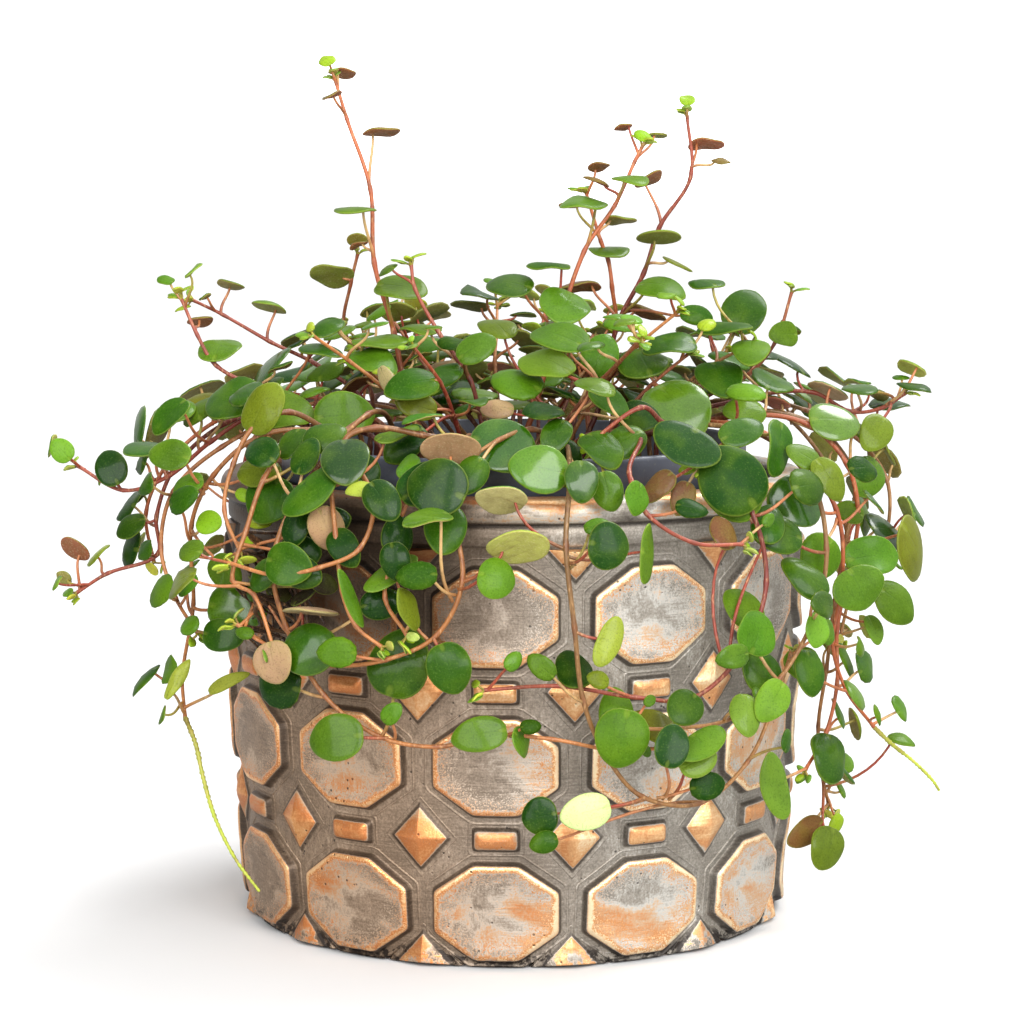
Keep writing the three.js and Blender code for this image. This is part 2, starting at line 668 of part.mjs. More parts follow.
// One leaf by rule: its stalk leaves to one side of the stem, and the blade faces up and out.
function growLeaf(stem, index, k) {
  const joint = stem.joints[k];
  const draw = seeded(2, index, k);
  const share = (k - 1) / (stem.joints.length - 2);
  const out = outward(joint);
  const around = out.clone().cross(UP);
  const hanging = stem.hangs && joint.z < PLANTER_TOP + 6;
  const full = LONGEST_LEAF * (stem.upright ? 0.8 : 1) * (1 - 0.52 * share ** 1.6);
  for (let attempt = 0; attempt < TRIES; attempt++) {
    const shrunk = full * (0.72 + 0.36 * draw()) * (1 - 0.012 * attempt);
    const length = Math.max(SHORTEST_LEAF, shrunk);
    const side = (k + (hanging ? attempt : 0)) % 2 ? 1 : -1;
    const turn = side * radians(35 + 70 * draw()) + (hanging ? 0 : attempt * GOLDEN_ANGLE);
    const reach = out.clone().multiplyScalar(Math.cos(turn) + (hanging ? 0.35 : 0.15));
    reach.addScaledVector(around, Math.sin(turn));
    reach.addScaledVector(UP, hanging ? 0.1 + 0.9 * draw() : 0.5 + 1.3 * draw()).normalize();
    const stalkLength = 5 + length * (0.15 + 0.5 * draw());
    const sway = point(draw() - 0.5, draw() - 0.5, draw() - 0.5).multiplyScalar(0.85);
    const normal = UP.clone().multiplyScalar(hanging ? 0.55 : 1);
    normal.addScaledVector(out, hanging ? 1 : 0.34).add(sway).normalize();
    const tip = reach.clone().addScaledVector(normal, -reach.dot(normal)).normalize();
    const centre = joint.clone().addScaledVector(reach, stalkLength);
    centre.addScaledVector(tip, STALK_SEAT * length);
    const width = length * (0.76 + 0.2 * draw());
    if (keepIfClear(leafAt(stem, k, centre, normal, tip, length, width))) {
      return true;
    }
  }
  return false;
}

// Sites for the stems lie as sunflower seeds do. A stem takes the free site nearest to its route.
function rootSites() {
  return Array.from({ length: ROOT_SITES }, (_, i) => {
    const radius = ROOT_RING * Math.sqrt((i + 0.5) / ROOT_SITES);
    return [radius * Math.cos(i * GOLDEN_ANGLE), radius * Math.sin(i * GOLDEN_ANGLE)];
  });
}

function takeSite(sites, [x, y]) {
  const away = sites.map((site) => Math.hypot(site[0] - x, site[1] - y));
  return sites.splice(away.indexOf(Math.min(...away)), 1)[0];
}

function plant(name, site, route, spike = []) {
  const hangs = name.startsWith("trail");
  const collar = point(...site, SOIL_TOP + (hangs ? TRAIL_COLLAR : COLLAR));
  const joints = [point(...site, SOIL_TOP - ROOT_DEPTH), collar, ...route];
  ease(joints);
  const stem = { name, site, joints, spike, hangs, leaves: [] };
  stem.upright = name.includes("shoot_") && !name.startsWith("shoot_fill");
  const path = [...joints.slice(1), ...spike];
  path.slice(1).forEach((end, k) => {
    samples(path[k], end).forEach((place) => takenPoints.push({ place, stem }));
  });
  return stem;
}

function grownStems() {
  const sites = rootSites();
  const stems = Object.entries(ROUTES).map(([name, route]) => {
    const spike = (SPIKES[name] || []).map((p) => point(...p));
    return plant(name, takeSite(sites, route[0]), route.map((p) => point(...p)), spike);
  });
  for (let i = 0; i < BACK_TRAILS; i++) {
    const share = (i + 0.5) / BACK_TRAILS;
    const turn = radians(BACK_ARC.from + (BACK_ARC.to - BACK_ARC.from) * share);
    const site = takeSite(sites, [ROOT_RING * Math.cos(turn), ROOT_RING * Math.sin(turn)]);
    const route = hangingRoute(Math.atan2(site[1], site[0]), seeded(3, i));
    stems.push(plant(`trail_back_${i + 1}`, site, route));
  }
  for (let i = 0; i < SHORT_STEMS; i++) {
    const site = sites.shift();
    stems.push(plant(`shoot_fill_${i + 1}`, site, shortRoute(site, seeded(4, i))));
  }
  PLACED_LEAVES.forEach((leaf, i) => placeLeaf(leaf, stems, i));
  stems.forEach((stem, index) => {
    for (let k = 2 + (index % 2); k < stem.joints.length; k += 2) {
      growLeaf(stem, index, k);
    }
  });
  return stems;
}

// A blade has a flat underside and a low crown. Its stalk rises into the underside at the seat.
function leafSolid(leaf) {
  const across = leaf.tip.clone().cross(leaf.normal);
  const place = (x, y, z) => {
    const spot = leaf.centre.clone().addScaledVector(across, x);
    return spot.addScaledVector(leaf.tip, y).addScaledVector(leaf.normal, z);
  };
  const thickness = BLADE_THICKNESS * (0.5 + (0.5 * leaf.length) / LONGEST_LEAF);
  const rim = Array.from({ length: BLADE_SIDES }, (_, i) => {
    const turn = (2 * Math.PI * (i + 0.5)) / BLADE_SIDES;
    const x = (leaf.width / 2) * Math.sin(turn) * (1 - 0.1 * Math.cos(turn));
    return place(-x, (leaf.length / 2) * Math.cos(turn), -thickness / 2);
  });
  const seat = Array.from({ length: STEM_SIDES }, (_, i) => {
    const turn = (2 * Math.PI * (i + 0.5)) / STEM_SIDES;
    const y = -STALK_SEAT * leaf.length + STALK_RADIUS * Math.cos(turn);
    return place(-STALK_RADIUS * Math.sin(turn), y, -thickness / 2 + 0.1);
  });
  const along = leaf.seat.clone().sub(leaf.joint).normalize();
  const side = across.clone().addScaledVector(along, -across.dot(along)).normalize();
  const other = along.clone().cross(side);
  const foot = Array.from({ length: STEM_SIDES }, (_, i) => {
    const turn = (2 * Math.PI * (i + 0.5)) / STEM_SIDES;
    const spot = leaf.joint.clone().addScaledVector(other, FOOT_RADIUS * Math.cos(turn));
    return spot.addScaledVector(side, -FOOT_RADIUS * Math.sin(turn));
  });
  return solid(skin([foot, seat, rim, [place(0, 0, thickness / 2)]]));
}

function leafyStem({ joints, leaves, spike }) {
  const last = joints.length - 1;
  const radii = joints.map((_, k) => STEM_RADIUS + ((TIP_RADIUS - STEM_RADIUS) * k) / last);
  const shapes = [solid(tube(joints, radii, STEM_SIDES)), ...leaves.map(leafSolid)];
  if (spike.length) {
    const path = [joints[last], ...spike];
    shapes.push(solid(tube(path, path.map(() => SPIKE_RADIUS), STEM_SIDES)));
  }
  return joined(shapes);
}

const CAST = { color: 0x8d7260, roughness: 0.5, metalness: 0.6 };
const PLASTIC = { color: 0x3c4048, roughness: 0.5, metalness: 0.0 };
const EARTH = { color: 0x2b211a, roughness: 0.95, metalness: 0.0 };
const FOLIAGE = { color: 0x3f7a35, roughness: 0.4, metalness: 0.0 };

const stems = grownStems();
const greenery = new THREE.Group();
stems.forEach((stem) => greenery.add(meshed(stem.name, leafyStem(stem), FOLIAGE)));

const part = new THREE.Group();
part.add(meshed("planter", planter(), CAST));
part.add(meshed("grow_pot", growPot(), PLASTIC));
part.add(meshed("soil", soil(stems.map((stem) => stem.site)), EARTH));
part.add(greenery);

export default part;
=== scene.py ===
import math

import bpy
import numpy as np
from mathutils import Matrix, Vector


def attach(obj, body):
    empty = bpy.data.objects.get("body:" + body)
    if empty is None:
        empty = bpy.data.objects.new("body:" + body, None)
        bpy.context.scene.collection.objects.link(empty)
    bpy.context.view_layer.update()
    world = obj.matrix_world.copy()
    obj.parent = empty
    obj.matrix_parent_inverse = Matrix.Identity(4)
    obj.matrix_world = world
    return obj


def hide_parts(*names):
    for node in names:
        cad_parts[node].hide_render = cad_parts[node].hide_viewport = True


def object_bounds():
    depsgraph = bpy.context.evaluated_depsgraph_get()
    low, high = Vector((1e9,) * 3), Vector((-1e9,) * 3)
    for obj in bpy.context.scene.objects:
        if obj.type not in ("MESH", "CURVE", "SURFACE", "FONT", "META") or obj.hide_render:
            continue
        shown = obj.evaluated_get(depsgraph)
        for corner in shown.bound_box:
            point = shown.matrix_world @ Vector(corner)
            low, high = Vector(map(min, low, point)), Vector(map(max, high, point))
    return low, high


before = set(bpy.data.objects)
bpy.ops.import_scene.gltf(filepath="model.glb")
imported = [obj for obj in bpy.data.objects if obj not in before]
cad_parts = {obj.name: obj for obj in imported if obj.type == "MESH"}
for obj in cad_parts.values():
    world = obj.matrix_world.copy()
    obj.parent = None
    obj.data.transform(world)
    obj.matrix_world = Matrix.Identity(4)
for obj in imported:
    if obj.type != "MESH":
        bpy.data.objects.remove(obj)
CAD_BOX = [list(corner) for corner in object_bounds()]


def srgb(red, green, blue):
    """A colour as a screen shows it, from 0 to 255, in the linear numbers that materials take."""

    def linear(level):
        share = level / 255
        return share / 12.92 if share <= 0.04045 else ((share + 0.055) / 1.055) ** 2.4

    return (linear(red), linear(green), linear(blue), 1.0)


# The plant grows by a rule that works in millimetres. MM takes a measure to metres.
MM = 0.001
SEED = 2026
PLACES_HELD = 60000
BLADES_HELD = 2000

# Planter, in millimetres
WALL_FOOT_RADIUS = 68.2
WALL_SPREAD = 5.0
WALL_SPREAD_HEIGHT = 100.0
WALL_CURVE = 1.8
PATTERN_TOP = 103.0
BAND_OUT = 1.0
LIP_BOTTOM = 108.4
LIP_RADIUS = 76.2
PLANTER_TOP = 114.5
CAVITY_TOP_RADIUS = 67.5
CAVITY_FOOT_RADIUS = 60.5
PLANTER_FLOOR = 9.0
RELIEF = 2.4
DIAMOND_TOP = 102.4
COLUMNS = 12
COLUMN_TURN = -3.5
ROW_FIRST = 14.0
ROW_PITCH = 36.0

# Grow pot and soil, in millimetres
RIM_RADIUS = 60.4
RIM_TOP = 122.3
NECK_RADIUS = 56.5
NECK_HEIGHT = 112.5
POT_FOOT_RADIUS = 44.0
POT_WALL = 1.2
POT_BASE = 1.6
POT_SEGMENTS = 96
CLEARANCE = 0.3
SOIL_TOP = 113.0
SOIL_RADIUS = 54.6
SOIL_RINGS = 26
SOIL_SEGMENTS = 96
SOIL_ROUGH = 1.1
CRUMB_COUNT = 1500
CRUMB_SIZES = (0.7, 2.2)

# Stems and leaves, in millimetres
ROOT_DEPTH = 8.0
ROOT_SITES = 58
ROOT_RING = 50.0
GOLDEN_ANGLE = math.radians(137.508)
COLLAR = 5.0
TRAIL_COLLAR = 11.6
STEM_GAP = 3.0
SAMPLE_STEP = 2.5
EASE_ROUNDS = 200
LEAST_SHARE = 0.25
LONGEST_LEAF = 18.5
SHORTEST_LEAF = 6.0
STALK_SEAT = 0.28
STALK_STEP = 1.6
STALK_LEAN = 0.36
BLADE_GAP = 1.9
STALK_GAP = 1.8
STEM_TO_BLADE = 2.2
BLADE_TO_POT = 1.6
STALK_TO_POT = 0.9
STEM_TO_POT = 1.8
NODE_REACH = 5.0
TRIES = 30
RIM_SPOTS = 12
INNER_SPOTS = 6
SLIDES = 14
SLIDE_STEP = 1.6
JOINTS_TRIED = 8
UP = np.array([0.0, 0.0, 1.0])
VIEWPOINT = np.array([0.0, -766.0, 192.0])

# The joints of each stem after it leaves the soil, and the spikes that two of them flower in.
ROUTES = {
    "tall_shoot_left": [
        (-28, -5, 132), (-31, -5, 150), (-36, -5, 168), (-37, -4, 187), (-43, -3, 205), (-46, -3, 215),
    ],
    "tall_shoot_middle": [
        (5, -11, 130), (10, -10, 147), (18, -8, 171), (26, -7, 183), (31, -6, 194), (33, -6, 198),
    ],
    "tall_shoot_right": [
        (24, 8, 134), (27, 8, 151), (34, 7, 165), (38, 6, 177), (46, 5, 190), (45, 5, 206),
    ],
    "tall_shoot_inner": [
        (20, 22, 132), (27, 18, 149), (26, 15, 161), (25, 15, 168), (23, 14, 173), (19, 13, 186),
    ],
    "shoot_right_back": [(50, 14, 131), (62, 12, 138), (69, 10, 147), (73, 9, 160)],
    "shoot_left_low": [(-40, 8, 132), (-52, 8, 141), (-64, 7, 147), (-76, 6, 154), (-84, 5, 158)],
    "shoot_left_curl": [
        (-50, -16, 130), (-64, -16, 136), (-76, -14, 142), (-81, -13, 150), (-85, -12, 159),
    ],
    "shoot_front_red": [
        (-8, -24, 128), (-11, -24, 139), (-19, -22, 151), (-25, -21, 162), (-26, -20, 168),
    ],
    "shoot_left_inner": [(-38, 20, 132), (-45, 16, 150), (-43, 12, 162), (-41, 10, 170)],
    "trail_left_heart": [
        (-52, -30, 128), (-64, -30, 131), (-76, -28, 124), (-87, -26, 115), (-99, -23, 111),
        (-111, -20, 117),
    ],
    "trail_left_far": [
        (-58, -8, 130), (-74, -10, 127), (-87, -11, 116), (-92, -12, 103), (-92, -11, 93),
        (-105, -10, 88), (-113, -10, 83),
    ],
    "trail_left_hook": [
        (-46, -42, 128), (-62, -46, 127), (-74, -44, 117), (-80, -40, 104), (-80, -37, 84),
        (-83, -36, 66), (-82, -40, 56),
    ],
    "trail_left_fold": [
        (-58, -22, 130), (-74, -28, 124), (-85, -34, 112), (-88, -36, 98), (-84, -40, 86),
        (-78, -46, 78),
    ],
    "trail_left_side": [(-60, 3, 131), (-77, 2, 127), (-90, 0, 116), (-96, -1, 103), (-94, -2, 90)],
    "trail_front_arc": [
        (-12, -62, 127), (-15, -79, 115), (-12, -86, 97), (-18, -86, 84), (-30, -85, 78),
        (-43, -81, 76), (-55, -76, 78), (-66, -70, 84),
    ],
    "trail_front_left": [
        (-38, -54, 127), (-50, -68, 117), (-57, -74, 100), (-54, -74, 84), (-45, -76, 68),
        (-32, -80, 59), (-18, -83, 57), (-5, -84, 60), (9, -84, 59), (24, -82, 56), (38, -78, 56),
    ],
    "trail_front_loop": [
        (12, -58, 127), (13, -78, 120), (12, -87, 105), (14, -88, 86), (16, -87, 69), (21, -85, 56),
        (30, -82, 45), (44, -76, 42), (56, -67, 50), (63, -58, 62), (68, -50, 74),
    ],
    "trail_front_red": [
        (44, -56, 126), (56, -68, 112), (60, -70, 94), (54, -74, 78), (42, -80, 68), (28, -84, 69),
        (10, -86, 72), (-7, -86, 71),
    ],
    "trail_front_short": [
        (30, -60, 128), (27, -77, 121), (31, -83, 112), (42, -81, 105), (54, -76, 104),
    ],
    "trail_right_front": [
        (58, -44, 128), (72, -52, 117), (76, -54, 100), (73, -56, 84), (64, -64, 70), (52, -73, 62),
        (38, -81, 61), (25, -86, 62),
    ],
    "trail_right_long": [
        (60, -22, 130), (74, -24, 128), (84, -25, 118), (87, -25, 105), (85, -25, 91), (82, -25, 76),
        (82, -26, 62), (79, -29, 50), (73, -37, 42),
    ],
    "trail_right_low": [
        (62, -6, 130), (78, -6, 126), (88, -7, 113), (86, -8, 97), (83, -9, 80), (81, -10, 63),
        (79, -10, 48), (80, -10, 36), (82, -10, 27),
    ],
    "trail_right_spike": [
        (54, -34, 129), (69, -37, 123), (80, -38, 108), (82, -36, 90), (80, -33, 74), (84, -28, 61),
        (92, -21, 50),
    ],
    "trail_right_high": [(64, 4, 132), (78, 3, 134), (88, 2, 129), (96, 1, 130), (102, 0, 134)],
    "trail_right_broad": [
        (62, 18, 131), (78, 18, 128), (91, 15, 121), (99, 13, 110), (99, 11, 96), (94, 9, 84),
    ],
    "trail_right_side": [
        (57, 32, 130), (73, 34, 126), (85, 33, 112), (90, 30, 96), (91, 26, 80), (88, 22, 66),
    ],
}
SPIKES = {
    "trail_left_hook": [(-79, -44, 50), (-77, -46, 42), (-74, -47, 32), (-69, -48, 22), (-63, -49, 14)],
    "trail_right_spike": [(97, -18, 45), (103, -16, 40), (108, -15, 35), (110, -14, 32)],
}

# Listed leaves: the middle of the blade, its length, then how far its face turns to the right
# of the front, and how far up from the horizon, in degrees.
PLACED_LEAVES = [
    (-48, -5, 220, 5, -20, 50), (-44, -4, 217, 8, 190, 75), (-34, -4, 202, 10.5, 200, 78),
    (-41, -5, 182, 12.5, 10, 86), (-41, 9, 174, 6, 180, 50), (-48, 12, 165, 12, 180, 55),
    (-29, -12, 162, 14, 0, 62), (45, 4, 210, 5, 0, 55), (50, 6, 199, 10, 200, 68),
    (35, 6, 190, 9.5, 230, 60), (38, 6, 175, 12.5, 180, 72), (33, -7, 201, 5, 20, 50),
    (28, -6, 203, 5, 210, 70), (30, -6, 190, 11, 0, 84), (18, -8, 184, 13, 30, 78),
    (15, 13, 183, 7, 190, 75), (28, 16, 179, 9, 180, 75), (25, 14, 171, 12.5, 15, 80),
    (17, 14, 162, 12.5, 190, 74), (9, -12, 168, 11.5, 20, 84), (-1, -14, 163, 12.5, 0, 62),
    (13, -16, 158, 14.5, 25, 55), (38, 0, 162, 13.5, 0, 66), (50, 2, 163, 11, 0, 80),
    (61, 14, 155, 14.5, 0, 30), (71, 6, 149, 9, 30, 20), (-74, 6, 162, 8, 150, 68),
    (-64, 7, 157, 10, 140, 66), (-82, 4, 153, 8, 200, 70), (-89, -12, 164, 5, 0, 60),
    (-71, -28, 135, 16, -25, 50), (-57, -30, 132, 14, 0, 50), (-86, -22, 132, 12, -20, 62),
    (-75, -14, 147, 13, -15, 66), (-114, -26, 121.5, 7, 0, 12), (-102, -24, 117, 10.5, -10, 22),
    (-93, -24, 122, 12, 0, 78), (-113, -10, 95, 9, 150, 40), (-116, -10, 87, 5, 150, 20),
    (-99, -12, 101, 9, -30, 40), (-69, -43, 84, 15.5, -15, 14), (-71, -50, 94, 10, -15, 10),
    (-75, -48, 106, 7, -20, 30), (-60, -50, 112, 15, -20, 28), (-53, -82, 100, 12, -20, 12),
    (-48, -78, 117, 16, -30, 38), (-44, -77, 108, 11, 10, 10), (-48, -72, 88, 14, 170, 76),
    (-49, -74, 79, 14, -20, 22), (-27, -84, 77, 17, -10, 14), (-15, -90, 77, 12.5, 5, 12),
    (-42, -82, 59, 14, -15, 18), (-8, -88, 61, 13.5, 0, 22), (-29, -82, 98, 14.5, -20, 52),
    (-15, -70, 127, 14.5, 180, 40), (-3, -62, 126, 16, 0, 38), (6, -76, 122, 14.5, 10, 24),
    (16, -74, 119, 10.5, 10, 22), (-18, -87, 119, 15, -10, 22), (-3, -82, 116, 12.5, 180, 50),
    (1, -88, 106, 16, 180, 50), (-4, -90, 98, 11.5, 15, 22), (8, -40, 145, 15.5, 0, 62),
    (41, -30, 133, 18.5, 5, 42), (52, -70, 119, 18.5, 10, 22), (41, -68, 127, 16, 10, 40),
    (52, -20, 140, 14.5, 0, 56), (58, -28, 132, 12, 20, 50), (32, -30, 145, 14, 0, 58),
    (65, -44, 124, 14, 50, 20), (69, -54, 112, 14, 30, 22), (81, -24, 129, 14, 20, 42),
    (91, -16, 114, 10.5, 35, 22), (75, -52, 98, 12, 25, 12), (90, -30, 95, 14.5, 20, 30),
    (86, -36, 88, 13.5, 25, 20), (97, -26, 83, 13, 30, 26), (103, -14, 95, 16.5, 60, 10),
    (55, -70, 88, 12, 25, 30), (58, -70, 82, 11.5, 30, 18), (60, -66, 72, 12, 30, 20),
    (72, -44, 70, 11, 35, 18), (22, -90, 83, 13.5, 10, 14), (31, -86, 103, 14, 60, 8),
    (22, -86, 105, 12.5, 10, 14), (25, -92, 61, 14, 5, 12), (40, -86, 67, 10, 20, 34),
    (44, -84, 58, 15, 10, 50), (17, -90, 43, 12.5, 15, 12), (6, -90, 42, 10.5, -5, 12),
    (76, -14, 21, 12.5, 30, 10), (81, -19, 18, 11.5, 30, 12), (64, -56, 42, 17, 35, 12),
    (80, -34, 45, 14, 40, 30),
]

# Stems by rule: long ones that hang over the back, and short ones that fill the mound.
BACK_TRAILS = 9
BACK_ARC = (22, 158)
SHORT_STEMS = 20
HANG = ((61, 129), (76, 127), (86, 116), (88, 101), (87, 86), (85, 71), (84, 57), (83, 43))

# Side branches that the solids leave out: the stem and the joint that each grows from, then its own
# joints.
BRANCHES = (
    ("trail_front_arc", 2, (
        (-22, -66, 129), (-33, -69, 131), (-40, -70, 128), (-33, -79, 115), (-36, -84, 104),
        (-46, -84, 100), (-57, -80, 99), (-67, -73, 99),
    )),
    ("trail_front_left", 2, (
        (-44, -63, 126), (-45, -73, 117), (-43, -81, 106), (-40, -84, 94), (-37, -85, 85),
        (-31, -86, 78),
    )),
    ("trail_front_arc", 2, (
        (-20, -71, 122), (-26, -78, 113), (-27, -83, 102), (-29, -85, 92), (-25, -86, 84),
    )),
    ("trail_left_hook", 2, (
        (-54, -54, 126), (-60, -63, 118), (-64, -67, 106), (-64, -70, 94), (-60, -74, 83), (-57, -78, 74),
    )),
    ("trail_left_hook", 2, (
        (-55, -48, 133), (-63, -52, 130), (-68, -55, 121), (-70, -58, 110), (-66, -60, 100),
    )),
    ("trail_front_loop", 2, ((4, -62, 130), (-4, -67, 128), (-12, -71, 123))),
    ("trail_front_red", 2, ((36, -58, 131), (26, -63, 131), (18, -65, 127))),
    ("trail_right_front", 2, ((57, -53, 130), (51, -61, 127), (44, -66, 122))),
)

# Leaves listed for the finer plant only, each with the name of its greens. The deep and withered ones
# close to the wall at the front left are partly painted shade: darkened to stand in for the shade under
# the overhanging mound.
EXTRA_LEAVES = (
    (-40, -72, 124, 14.3, -10, 48, "deep"), (-36, -82, 118, 7, 0, 60, "yellow"),
    (-27, -82, 107, 10.5, 20, 20, "deep"), (-16, -84, 109, 14, 10, 35, "dark"),
    (-20, -88, 112, 12.8, 0, 74, "green"), (-24, -85, 90, 11.2, 60, 12, "olive"),
    (-38, -82, 92, 12.7, 55, 12, "green"), (-57, -76, 76, 10.9, -20, 12, "tanned"),
    (-31, -78, 115, 11.5, 0, 30, "deep"), (-25, -70, 122, 13.2, 0, 68, "green"),
    (-28, -64, 129.5, 14, 0, 74, "green"), (-26, -64, 127, 13, 0, 30, "deep"),
    (-54, -52, 126, 10.3, -30, 50, "dark"), (-46, -56, 128, 11.2, -10, 40, "dark"),
    (-66, -52, 113, 4.6, -10, 20, "lime"), (-62, -54, 107, 6.3, -10, 20, "lime"),
    (-64, -56, 102, 4.9, -10, 30, "lime"), (2, -88, 59, 8.8, 60, 10, "green"),
    (7, -86, 35, 7, 0, 20, "dark"), (83, -22, 25, 6.1, 40, 10, "lime"),
    (100, -16, 46, 7.7, 30, 65, "green"), (92, -20, 75, 8.2, 30, 20, "bright"),
    (85, -26, 106, 8.1, 20, 30, "green"), (93, -12, 125, 11.4, 20, 30, "olive"),
    (-24, -34, 139, 12.5, 0, 55, "green"), (12, -66, 123, 12.5, 0, 30, "deep"),
    (26, -62, 127, 13.3, 0, 40, "dark"), (55, -56, 129, 12.7, 10, 40, "dark"),
    (-50, -80, 98, 10.3, -15, 20, "deep"), (-60, -70, 96, 10.5, -25, 20, "dark"),
    (-31, -82, 91, 10.8, 0, 18, "deep"), (-40, -80, 104, 10.8, -10, 25, "deep"),
    (-50, -64, 124, 11, -20, 35, "deep"),
    (-35, -68, 121, 11.5, 0, 30, "deep"),
    (-22, -80, 119, 12.5, 0, 25, "deep"), (-16, -66, 126, 12.5, 0, 50, "green"),
    (-10, -79, 121, 13, 5, 30, "dark"),
    (10, -65, 129, 11, 5, 40, "dark"), (21, -62, 126, 13, 10, 55, "dark"),
    (-52, -72, 108, 10, -20, 25, "deep"), (-62, -58, 120, 12, -30, 40, "olive"),
    (51.5, -67, 115.5, 17, 0, 25, "green"), (24, -86, 65.6, 13, 10, 25, "green"),
    (34, -86, 62, 15.5, 15, 50, "olive"), (37, -82, 57, 15.5, 15, 20, "deep"),
    (43, -85, 54, 10, 10, 30, "bright"), (55, -78, 64, 11, 20, 30, "bright"),
    (62, -70, 66, 12, 20, 30, "bright"), (14, -80, 75.5, 13.5, 0, 55, "deep"),
    (-56, -64, 92, 9, 40, 30, "withered_and_shade"), (-50, -70, 91, 8, -60, 60, "withered_and_shade"),
    (-61, -58, 95, 8.5, -20, 75, "withered_and_shade"), (-45, -72, 94, 7.5, 30, 20, "withered_and_shade"),
    (-45, -67, 108, 12, -10, 15, "deep"), (-52, -61, 100, 11, -15, 10, "deep"),
    (-28, -76, 100, 9.5, 0, 10, "deep"),
    (64, -62, 104.7, 13, 20, 30, "dark"), (61, -65, 108, 12, 10, 40, "dark"),
    (71, -58, 94, 14, 25, 35, "dark"), (76, -60, 118, 12, 20, 20, "olive"),
    (70, -56, 123, 13, 20, 40, "green"), (73, -62, 81.5, 9, 30, 20, "bright"),
    (72, -60, 71, 12, 30, 25, "dark"), (40, -71, 114.5, 9, 10, 20, "rust"),
    (34, -71, 117.5, 10, -20, 30, "rust"), (50, -68, 105.7, 9, 30, 30, "rust"),
    (22, -78, 117, 10, 0, 15, "green"), (29, -76, 115, 9, 40, 20, "green"),
    (-31, -44, 140, 12, -30, 25, "tanned"), (-4, -54, 134.5, 8.5, 0, 35, "tanned"),
    (21.7, -30, 146.1, 17, 5, 20, "green"), (11.2, -40, 151, 16, 0, 60, "green"),
    (39.1, -30, 148.9, 14, 0, 62, "dark"), (54.1, -10, 152.4, 15, 0, 80, "dark"),
    (60, -20, 147.1, 15, 0, 72, "green"),
    (23.3, -50, 135.8, 12, 20, 45, "dark"), (30.5, -48, 131.8, 11, 0, 30, "deep"),
    (-9.5, -35, 148, 11, -10, 30, "green"), (-17, -25, 141, 13, 0, 40, "dark"),
    (-4.5, 0, 151.8, 14, 0, 70, "olive"), (47.5, 0, 154.5, 9, 10, 25, "dark"),
    (-41.8, -46, 132, 15.5, 0, 20, "green"), (-61.8, -46, 133.8, 14, -20, 15, "olive"),
    (-85, -40, 131.5, 12, -30, 40, "dark"), (-85, -42, 122, 12, -20, 30, "green"),
    (-25, -40, 139.5, 14, 10, 40, "dark"), (-34, -20, 149, 15, 0, 75, "green"),
    (-36, -24, 144.5, 15, 0, 65, "green"), (-47, -18, 153, 10, 0, 65, "dark"),
    (-49, -18, 147, 13, 0, 80, "dark"), (-24, -15, 152, 13, 0, 78, "green"),
    (-24, -46, 134.5, 11, 0, 10, "olive"), (-80.5, -45, 115, 9, -30, 40, "green"),
    (-71.4, -55, 79, 11, -20, 15, "dark"), (-83, -50, 67.3, 11.5, -20, 20, "yellow"),
    (-70.7, -50, 66.6, 11.5, -20, 20, "yellow"),
)

# How long and how wide listed leaves are drawn, as shares, where the photo's own are slimmer or
# broader. Leaves are numbered from 0 in PLACED_LEAVES, and on through EXTRA_LEAVES.
LEAF_SHARES = {
    30: (0.95, 1.2), 43: (0.85, 1.0), 45: (0.62, 1.25), 53: (0.5, 1.15), 54: (0.78, 1.12), 55: (1.08, 1.12),
    60: (0.95, 1.0), 61: (0.8, 1.05), 52: (1.0, 0.66), 82: (0.45, 1.12), 83: (0.45, 1.3), 84: (0.78, 0.95),
    87: (0.5, 1.2), 88: (1.0, 0.84), 89: (0.82, 1.1), 90: (1.0, 0.6), 92: (0.5, 1.15), 65: (0.75, 1.25),
    69: (1.15, 0.7), 70: (1.1, 1.1), 72: (1.15, 1.15), 73: (1.0, 1.2), 74: (1.1, 0.82), 75: (0.82, 1.3),
    77: (1.1, 1.2), 94: (1.0, 1.3), 100: (0.35, 1.5), 101: (0.95, 1.2),
    103: (1.0, 0.6), 104: (1.0, 0.6), 162: (0.95, 0.5), 188: (1.0, 0.45), 189: (1.0, 0.45),
}

# Rounds of finer leaves: the draw's layer, the size of a leaf, and how close it may lie to others.
# A finer leaf keeps inside the frame's box, and leaves the listed ones in view.
FILLER_ROUNDS = ((5, 0.95, 0.8), (6, 0.85, 0.7))
FILLER_TRIES = 12
BOX_MARGIN = 1.2
FINER_TIGHT = 0.45
FINER_SIZES = (1.0, 0.85, 0.7)
HIDING_SHARE = 0.5

# Over the front of the planter the stems carry few leaves, and so do the tops of tall shoots.
BARE_DEPTH = 55.0
BARE_HALF_WIDTH = 40.0
BARE_HEIGHT = 142.0
SPARSE_HEIGHT = 124.0

# Blades: segments, then rings from the middle of the upper face over the rim to the middle of the
# underside, as shares of the half width and of the half thickness. Listed leaves are fine.
FINE_BLADE = (26, ((0.4, 1.0), (0.75, 0.96), (0.93, 0.8), (0.985, 0.4), (1.0, -0.1), (0.92, -0.8)))
PLAIN_BLADE = (14, ((0.62, 0.97), (0.93, 0.78), (1.0, -0.05), (0.88, -0.8)))
BLADE_TAPER = 0.09
BLADE_THICKNESS = 1.0
BLADE_NOTCH = 0.05
NOTCH_SPREAD = 0.25
BLADE_POINT = 0.03
POINT_SPREAD = 0.3
STALK_SIDES = 7
STALK_POINTS = 9
STALK_RADIUS = 0.4
STALK_SINK = 0.35
STEM_STEP = 1.7
NODE_SWELL = 0.28
NODE_SPREAD = 1.1
BUD_COUNT = 4
